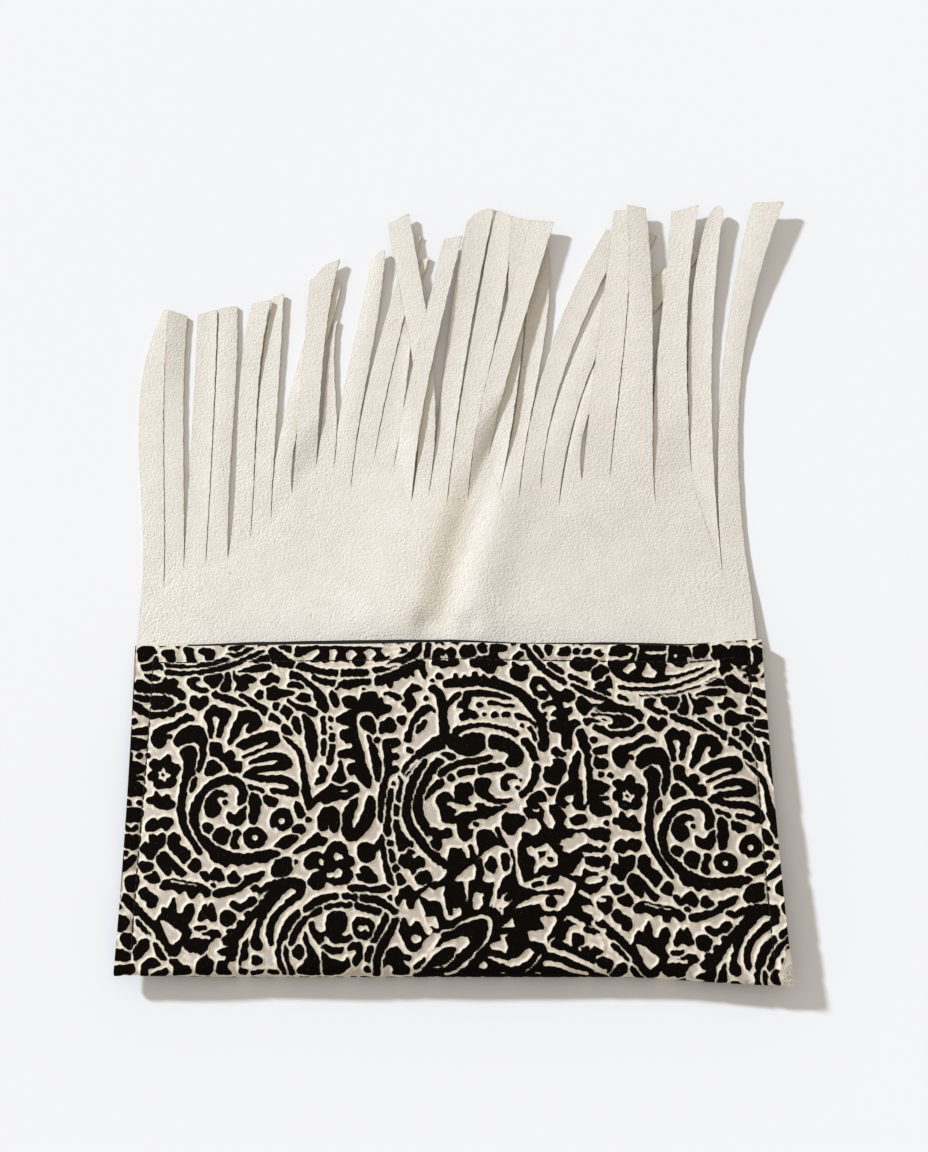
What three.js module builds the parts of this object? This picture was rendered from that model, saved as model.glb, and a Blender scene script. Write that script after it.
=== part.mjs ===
import * as THREE from 'three';

// A flat fringed clutch lying on its back with its flap thrown open.
// Millimetres. +X to the right, +Y from the bottom fold to the fringe, +Z up,
// the back of the pouch resting on Z = 0.

// ---------------------------------------------------------------- sizes
const WALL = 1.4;              // printed fabric
const SUEDE = 1.3;             // flap and fringe
const LINING = 1.0;            // black edge inside the mouth
const CLEAR = 0.3;             // kept between two pieces

const SEAM_IN = 7.0;           // side seams, in from the edge
const HALF_WIDTH = 132.1;      // pouch at the mouth
const FOLD_FLARE = 2.9;        // wider by this at the fold
const LEAN_FOLD = 1.7;         // centre line at the fold ...
const LEAN_MOUTH = -0.5;       // ... and at the mouth
const FOLD_Y = -66.8;          // outside of the bottom fold
const FOLD_DROP = 3.9;         // the right-hand corner hangs lower
const MOUTH_Y = 70.6;
const MOUTH_RISE = 3.9;        // the right-hand corner stands higher
const EDGE_TOP_FOLD = 9.0;     // top of the sewn side edges
const EDGE_TOP_MOUTH = 6.0;
const CROWN_END = 11.0;        // top of the pouch along its middle
const CROWN_MID = 14.5;
const CROWN_POWER = 2.6;
const BACK_FLAT = 0.62;        // share of the back that lies flat
const FOLD_ROUND = 0.9;        // depth of the fold for its height

const TONGUE_IN = 11.0;        // flap tucked inside the mouth
const TONGUE_SHARE = 0.68;     // of the width between the seams
const FLAP_LEFT = -132.1, FLAP_RIGHT = 129.8;
const FLAP_BASE_MID = 3.2;     // top of the flap at the mouth
const FLAP_BASE_SIDE = 4.4;
const FLAP_FLOOR = 1.4;        // top of the suede where it lies on the floor
const FLAP_DROP = 60.0;        // length over which it comes down

// ------------------------------------------------------------- functions
const clamp = (t) => Math.min(1, Math.max(0, t));
const ease = (a, b, t) => { const u = clamp((t - a) / (b - a)); return u * u * (3 - 2 * u); };
const lerp = (a, b, t) => a + (b - a) * t;
const bell = (d, mid, spread) => Math.exp(-(((d - mid) / spread) ** 2));

// pouch: u runs -1..1 between the seams, v runs 0 at the fold to 1 at the mouth
const halfWidth = (v) => HALF_WIDTH + FOLD_FLARE * (1 - v) ** 2.2;
const centre = (v) => lerp(LEAN_FOLD, LEAN_MOUTH, v);
const pouchX = (u, v) => centre(v) + u * (halfWidth(v) - SEAM_IN);
const edgeTop = (v) => lerp(EDGE_TOP_FOLD, EDGE_TOP_MOUTH, v);
const crown = (v) => CROWN_END + (CROWN_MID - CROWN_END) * 4 * v * (1 - v);
const frontZ = (u, v) => lerp(crown(v), edgeTop(v), Math.min(1, Math.abs(u)) ** CROWN_POWER);
const backZ = (u, v) => (edgeTop(v) - 2 * WALL) * ease(BACK_FLAT, 1, Math.abs(u));
const foldHalf = (u) => (frontZ(u, 0) - backZ(u, 0)) / 2;
const foldY = (u) => FOLD_Y - FOLD_DROP * ease(0.5, 1.05, u);
const tangentY = (u) => foldY(u) + FOLD_ROUND * foldHalf(u);
const mouthY = (u) => MOUTH_Y + 0.8 * ease(0.8, 1.05, -u) + 0.7 * bell(u, 0, 0.2)
  + MOUTH_RISE * ease(0.75, 1.08, u);
const pouchY = (u, v) => lerp(tangentY(u), mouthY(u), v);
const seamShare = (x) => (x - LEAN_MOUTH) / (HALF_WIDTH - SEAM_IN);

// top face of the flap, with the slanting crease down its middle
function flapZ(x, y) {
  const down = clamp((y - MOUTH_Y) / FLAP_DROP);
  const base = lerp(FLAP_BASE_MID, FLAP_BASE_SIDE, ease(0.62, 1, Math.abs(x) / 123));
  const across = x - (-4 + (16 * (y - 85)) / 56);
  const strength = ease(60, 100, y) * (1 - 0.5 * ease(125, 165, y));
  const crease = 0.8 * bell(across, -13, 8) - 0.6 * bell(across, 0, 5) + 2.2 * bell(across, 14, 8);
  return Math.max(FLAP_FLOOR, lerp(base, FLAP_FLOOR, 1 - (1 - down) ** 2) + strength * crease);
}

// ---------------------------------------------------------------- fringe
// where the cuts between the strips end, left to right; the first and last
// rows are the outer edges of the flap
const CUTS = [
  // x, y
  [-131.7, 97.7], [-122.4, 97.7], [-114.4, 106.9], [-105.1, 109.2], [-95.7, 112.0],
  [-86.4, 121.7], [-77.5, 130.2], [-68.9, 142.4], [-58.8, 155.2], [-50.9, 154.2],
  [-43.4, 143.7], [-33.4, 158.4], [-25.0, 153.5], [-16.9, 137.7], [-9.6, 140.1],
  [-1.4, 136.9], [7.7, 139.2], [16.9, 160.2], [21.5, 143.0], [29.9, 138.8],
  [39.5, 143.8], [47.2, 136.9], [57.5, 148.8], [69.7, 149.9], [89.4, 137.2],
  [105.6, 151.4], [117.1, 104.6], [128.7, 98.4],
];
// one row per strip: the two corners of its tip, how far each edge bends aside
// at a third and at two thirds of its length, and the height of its top face
const STRIPS = [
  // tip left x,y    tip right x,y  left 1/3,2/3  right 1/3,2/3  z mid, left, right
  [-129.0, 232.0, -127.2, 231.0, -3.8, -7.6, -1.0, -1.9, 1.4, 1.4, 1.4],
  [-126.8, 230.9, -118.4, 228.9, -0.5, -1.6, -0.6, -1.2, 1.4, 2.0, 1.5],
  [-113.7, 229.4, -105.0, 232.0, 0.1, 0.3, 0.3, 0.4, 1.4, 1.4, 1.4],
  [-104.3, 232.5, -96.2, 234.0, 0.4, 0.4, -0.4, 0.6, 1.6, 1.4, 1.4],
  [-89.2, 234.1, -80.7, 236.1, -0.2, -2.3, -1.3, -2.5, 1.5, 3.0, 3.2],
  [-80.0, 238.5, -75.4, 239.9, -1.1, -2.2, -0.3, 0.0, 1.4, 1.4, 1.6],
  [-60.2, 244.1, -49.7, 245.6, -3.6, -1.8, -4.0, -0.9, 1.4, 1.4, 1.4],
  [-63.4, 246.2, -50.3, 256.8, 0.0, -0.2, -1.6, -2.4, 3.2, 3.1, 3.0],
  [-52.3, 225.4, -50.9, 226.9, 0.2, -0.5, 0.7, -0.9, 1.4, 1.4, 1.4],
  [-35.7, 257.2, -29.8, 261.8, -2.0, -1.0, -0.5, 0.8, 1.5, 2.2, 2.6],
  [-17.7, 267.6, -13.6, 269.7, -3.6, -3.3, -0.7, 0.1, 1.4, 1.4, 1.4],
  [-13.1, 257.3, -9.9, 258.9, -1.2, -1.3, -0.2, -1.7, 1.4, 1.4, 1.4],
  [-3.1, 266.3, 5.2, 268.1, -1.2, -0.8, -2.6, -1.9, 5.0, 4.5, 4.4],
  [-28.5, 275.0, -19.2, 280.3, 6.2, 4.0, 6.0, 4.5, 3.2, 3.2, 3.1],
  [7.4, 275.2, 19.4, 282.1, -0.6, -1.4, -1.9, -1.9, 1.6, 3.8, 3.4],
  [19.9, 281.7, 26.4, 280.2, -1.3, -0.8, -0.2, 2.4, 1.6, 3.0, 3.0],
  [36.5, 275.9, 46.9, 274.8, -3.3, -2.4, -1.3, -0.8, 5.2, 5.0, 5.2],
  [27.3, 279.2, 36.6, 276.6, 3.1, 2.0, 2.4, 2.2, 3.1, 2.9, 2.9],
  [36.1, 263.5, 44.5, 263.5, 2.6, 2.3, 0.8, 3.0, 1.4, 1.4, 1.4],
  [71.2, 273.0, 79.0, 268.6, -7.0, -7.3, -6.7, -5.9, 1.4, 1.4, 1.4],
  [84.1, 272.3, 94.1, 269.7, -7.2, -5.6, -7.3, -6.5, 1.4, 1.4, 1.4],
  [109.9, 265.3, 113.3, 259.4, -12.4, -15.5, -12.8, -9.2, 1.4, 1.4, 1.4],
  [74.8, 281.4, 80.8, 282.0, -0.4, -0.3, 1.3, 2.6, 3.2, 3.6, 3.8],
  [81.4, 283.3, 89.0, 282.1, 2.0, 3.0, 0.0, 1.4, 3.2, 3.8, 4.2],
  [101.0, 281.1, 113.4, 283.8, -3.4, -1.8, -3.3, -3.7, 3.2, 4.0, 4.4],
  [118.6, 283.6, 124.7, 283.1, -4.4, -5.2, -4.5, -4.6, 2.0, 4.2, 4.3],
  [137.8, 284.4, 152.2, 284.6, -6.4, -6.3, -10.3, -11.2, 1.5, 5.6, 6.2],
].map(([tipLX, tipLY, tipRX, tipRY, left1, left2, right1, right2, zMid, zLeft, zRight], i) => [
  { from: CUTS[i], tip: [tipLX, tipLY], third: left1, twoThirds: left2, zMid, zTip: zLeft },
  { from: CUTS[i + 1], tip: [tipRX, tipRY], third: right1, twoThirds: right2, zMid, zTip: zRight },
]);
const SLIT_GAP = 0.4;          // between neighbours at one height
const SLIT_TAPER = 0.05;       // the gap opens this fast from the end of a cut
const CROSSED = 2.5;           // past this, one strip lies across the other

const edgeShare = (e, y) => (y - e.from[1]) / (e.tip[1] - e.from[1]);
const edgeDrawnX = (e, y) => {
  const t = edgeShare(e, y);
  return lerp(e.from[0], e.tip[0], t)
    + 13.5 * t * (1 - t) * (e.third * (2 / 3 - t) + e.twoThirds * (t - 1 / 3));
};
const edgeZ = (e, t) => (t < 0.3
  ? lerp(flapZ(...e.from), e.zMid, ease(0, 0.3, t))
  : lerp(e.zMid, e.zTip, ease(0.5, 1, t)));
function edgeX(strip, side, y) {
  const e = STRIPS[strip][side];
  const x = edgeDrawnX(e, y);
  const other = STRIPS[strip + (side ? 1 : -1)]?.[1 - side];
  if (!other) return x;
  const t = edgeShare(other, y);
  if (t <= 0 || t >= 1) return x;
  const apart = Math.abs(edgeZ(e, edgeShare(e, y)) - edgeZ(other, t));
  const theirs = edgeDrawnX(other, y);
  const over = side ? x - theirs : theirs - x;
  if (apart >= SUEDE + CLEAR || over > CROSSED) return x;
  const gap = Math.min(SLIT_GAP, SLIT_TAPER * (y - e.from[1]));
  const middle = (x + theirs) / 2;
  return side ? Math.min(x, middle - gap / 2) : Math.max(x, middle + gap / 2);
}

// ---------------------------------------------------------------- meshes
class Skin {
  constructor() { this.points = []; this.faces = []; }
  point(x, y, z) { return this.points.push([x, y, z]) - 1; }
  face(...ring) {
    for (let k = 2; k < ring.length; k++) {
      const tri = [ring[0], ring[k - 1], ring[k]];
      if (new Set(tri).size === 3) this.faces.push(tri);
    }
  }
  mesh(name, color, roughness) {
    const shape = new THREE.BufferGeometry();
    shape.setAttribute('position', new THREE.Float32BufferAttribute(this.points.flat(), 3));
    shape.setIndex(this.faces.flat());
    shape.computeVertexNormals();
    const mesh = new THREE.Mesh(shape, new THREE.MeshStandardMaterial({ color, roughness }));
    mesh.name = name;
    return mesh;
  }
}

// a sheet given by its top points and its cells, anticlockwise from above,
// made into a solid of one thickness
function sheet(points, cells, thickness) {
  const skin = new Skin();
  const top = points.map(([x, y, z]) => skin.point(x, y, z));
  const under = points.map(([x, y, z]) => skin.point(x, y, z - thickness));
  const edges = new Map();
  for (const cell of cells) {
    skin.face(...cell.map((p) => top[p]));
    skin.face(...cell.map((p) => under[p]).reverse());
    cell.forEach((p, k) => edges.set(`${p},${cell[(k + 1) % cell.length]}`, [p, cell[(k + 1) % cell.length]]));
  }
  for (const [p, q] of edges.values()) {
    if (!edges.has(`${q},${p}`)) skin.face(top[p], under[p], under[q], top[q]);
  }
  return skin;
}

// printed pouch: one folded length of fabric, sewn at both sides, open at the top
function pouch() {
  const ACROSS = 24, ALONG = 9, ROUND = 6;
  const skin = new Skin();
  const shares = Array.from({ length: ACROSS + 1 }, (_, k) => Math.sin((Math.PI / 2) * ((2 * k) / ACROSS - 1)));
  const ring = (u, x, inset) => {
    const pts = [];
    for (let k = ALONG; k >= 0; k--) pts.push([x(k / ALONG), pouchY(u, k / ALONG), frontZ(u, k / ALONG) - inset]);
    const half = foldHalf(u) - inset, mid = (frontZ(u, 0) + backZ(u, 0)) / 2;
    for (let k = 1; k < ROUND; k++) {
      const a = (Math.PI * k) / ROUND;
      pts.push([x(0), tangentY(u) - FOLD_ROUND * half * Math.sin(a), mid + half * Math.cos(a)]);
    }
    for (let k = 0; k <= ALONG; k++) pts.push([x(k / ALONG), pouchY(u, k / ALONG), backZ(u, k / ALONG) + inset]);
    return pts;
  };
  const edgeColumn = (sign) => ring(sign * 1.05, (v) => centre(v) + sign * halfWidth(v), 0);
  const outer = [edgeColumn(-1), ...shares.map((u) => ring(u, (v) => pouchX(u, v), 0)), edgeColumn(1)]
    .map((column) => column.map((p) => skin.point(...p)));
  const last = outer[0].length - 1;
  const inner = shares.map((u, c) => {
    const column = ring(u, (v) => pouchX(u, v), WALL);
    if (c > 0 && c < ACROSS) return column.map((p) => skin.point(...p));
    const seam = column.slice(0, ALONG + 1).map((p) => skin.point(...p));
    return column.map((_, r) => (r <= ALONG ? seam[r] : seam[Math.min(ALONG, last - r)]));
  });
  for (let c = 0; c < outer.length - 1; c++) {
    for (let r = 0; r < last; r++) skin.face(outer[c][r], outer[c][r + 1], outer[c + 1][r + 1], outer[c + 1][r]);
  }
  for (let c = 0; c < ACROSS; c++) {
    for (let r = 0; r < last; r++) skin.face(inner[c][r], inner[c + 1][r], inner[c + 1][r + 1], inner[c][r + 1]);
    skin.face(outer[c + 1][0], outer[c + 2][0], inner[c + 1][0], inner[c][0]);
    skin.face(outer[c + 1][last], inner[c][last], inner[c + 1][last], outer[c + 2][last]);
  }
  const [left, leftSeam] = outer, [rightSeam, right] = outer.slice(-2);
  skin.face(inner[0][0], leftSeam[last], left[last], left[0], leftSeam[0]);
  skin.face(inner[ACROSS][0], rightSeam[0], right[0], right[last], rightSeam[last]);
  for (let k = 0; k < ALONG; k++) {
    skin.face(left[k], left[last - k], left[last - k - 1], left[k + 1]);
    skin.face(right[k], right[k + 1], right[last - k - 1], right[last - k]);
  }
  const bend = Array.from({ length: ROUND + 1 }, (_, k) => ALONG + k);
  skin.face(...bend.map((r) => left[r]).reverse());
  skin.face(...bend.map((r) => right[r]));
  return skin;
}

// black lining edge, under the front wall and standing a little out of the mouth
function facing() {
  const ACROSS = 22, REACH = 0.88, DEEP = 12, SLACK = 0.4;
  const showing = (x) => SLACK + Math.max(0, 1.9 * (1 - ((x + 45) / 90) ** 2), 1.3 * (1 - ((x - 72) / 52) ** 2));
  const points = [], cells = [];
  for (let c = 0; c <= ACROSS; c++) {
    const u = REACH * ((2 * c) / ACROSS - 1);
    const x = pouchX(u, 1);
    for (const out of [-DEEP, -1, showing(x)]) {
      const v = Math.min(1, 1 + out / (mouthY(u) - tangentY(u)));
      points.push([x, mouthY(u) + out, frontZ(u, v) - WALL - CLEAR]);
    }
    if (c) {
      const a = 3 * (c - 1), b = 3 * c;
      cells.push([a, b, b + 1, a + 1], [a + 1, b + 1, b + 2, a + 2]);
    }
  }
  return sheet(points, cells, LINING);
}

// suede flap, tucked into the mouth, and the strips cut into its far half
function flap() {
  const ROWS = 6, LENGTHS = 12;
  const points = [], cells = [];
  const put = (x, y, z) => points.push([x, y, z]) - 1;
  const columns = CUTS.map(([cutX, cutY], j) => {
    const x = lerp(FLAP_LEFT, FLAP_RIGHT, j / (CUTS.length - 1));
    const start = mouthY(seamShare(x)) + CLEAR;
    const rows = [];
    for (let r = 0; r <= ROWS; r++) {
      const px = lerp(x, cutX, r / ROWS), py = lerp(start, cutY, r / ROWS);
      rows.push(put(px, py, flapZ(px, py)));
    }
    const tucked = Math.abs(seamShare(x)) < TONGUE_SHARE;
    return { rows, tongue: tucked ? put(x, start - TONGUE_IN, flapZ(x, start - TONGUE_IN)) : null };
  });
  for (let j = 0; j < columns.length - 1; j++) {
    const a = columns[j], b = columns[j + 1];
    if (a.tongue !== null && b.tongue !== null) cells.push([a.tongue, b.tongue, b.rows[0], a.rows[0]]);
    for (let r = 0; r < ROWS; r++) cells.push([a.rows[r], b.rows[r], b.rows[r + 1], a.rows[r + 1]]);
    let below = [a.rows[ROWS], b.rows[ROWS]];
    for (let k = 1; k <= LENGTHS; k++) {
      const above = STRIPS[j].map((e, side) => {
        const y = lerp(e.from[1], e.tip[1], k / LENGTHS);
        return put(edgeX(j, side, y), y, edgeZ(e, k / LENGTHS));
      });
      cells.push([below[0], below[1], above[1], above[0]]);
      below = above;
    }
  }
  return sheet(points, cells, SUEDE);
}

// ---------------------------------------------------------------- the part
const clutch = new THREE.Group();
clutch.name = 'fringed_clutch';
clutch.add(
  pouch().mesh('pouch_shell', 0x3a3531, 0.95),
  facing().mesh('mouth_facing', 0x141312, 0.9),
  flap().mesh('flap', 0xe4e0d6, 0.92),
);

export default clutch;
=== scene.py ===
import math

import bpy
import bmesh
import numpy as np
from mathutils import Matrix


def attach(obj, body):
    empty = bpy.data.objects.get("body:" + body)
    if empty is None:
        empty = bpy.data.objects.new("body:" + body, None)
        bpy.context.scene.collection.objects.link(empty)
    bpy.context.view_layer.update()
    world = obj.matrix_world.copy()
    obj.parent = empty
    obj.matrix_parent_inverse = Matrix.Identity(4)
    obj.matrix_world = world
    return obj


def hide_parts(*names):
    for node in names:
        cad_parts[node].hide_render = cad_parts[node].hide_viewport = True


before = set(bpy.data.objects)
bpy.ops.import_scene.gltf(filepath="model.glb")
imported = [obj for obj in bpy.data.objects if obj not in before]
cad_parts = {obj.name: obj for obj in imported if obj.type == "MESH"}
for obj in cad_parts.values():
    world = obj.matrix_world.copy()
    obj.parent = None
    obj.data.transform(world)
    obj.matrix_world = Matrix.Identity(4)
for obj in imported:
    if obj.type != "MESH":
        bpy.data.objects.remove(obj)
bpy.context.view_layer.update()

# All working sizes below are millimetres in the part's own frame; meshes are
# made in metres.
MM = 0.001


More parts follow.
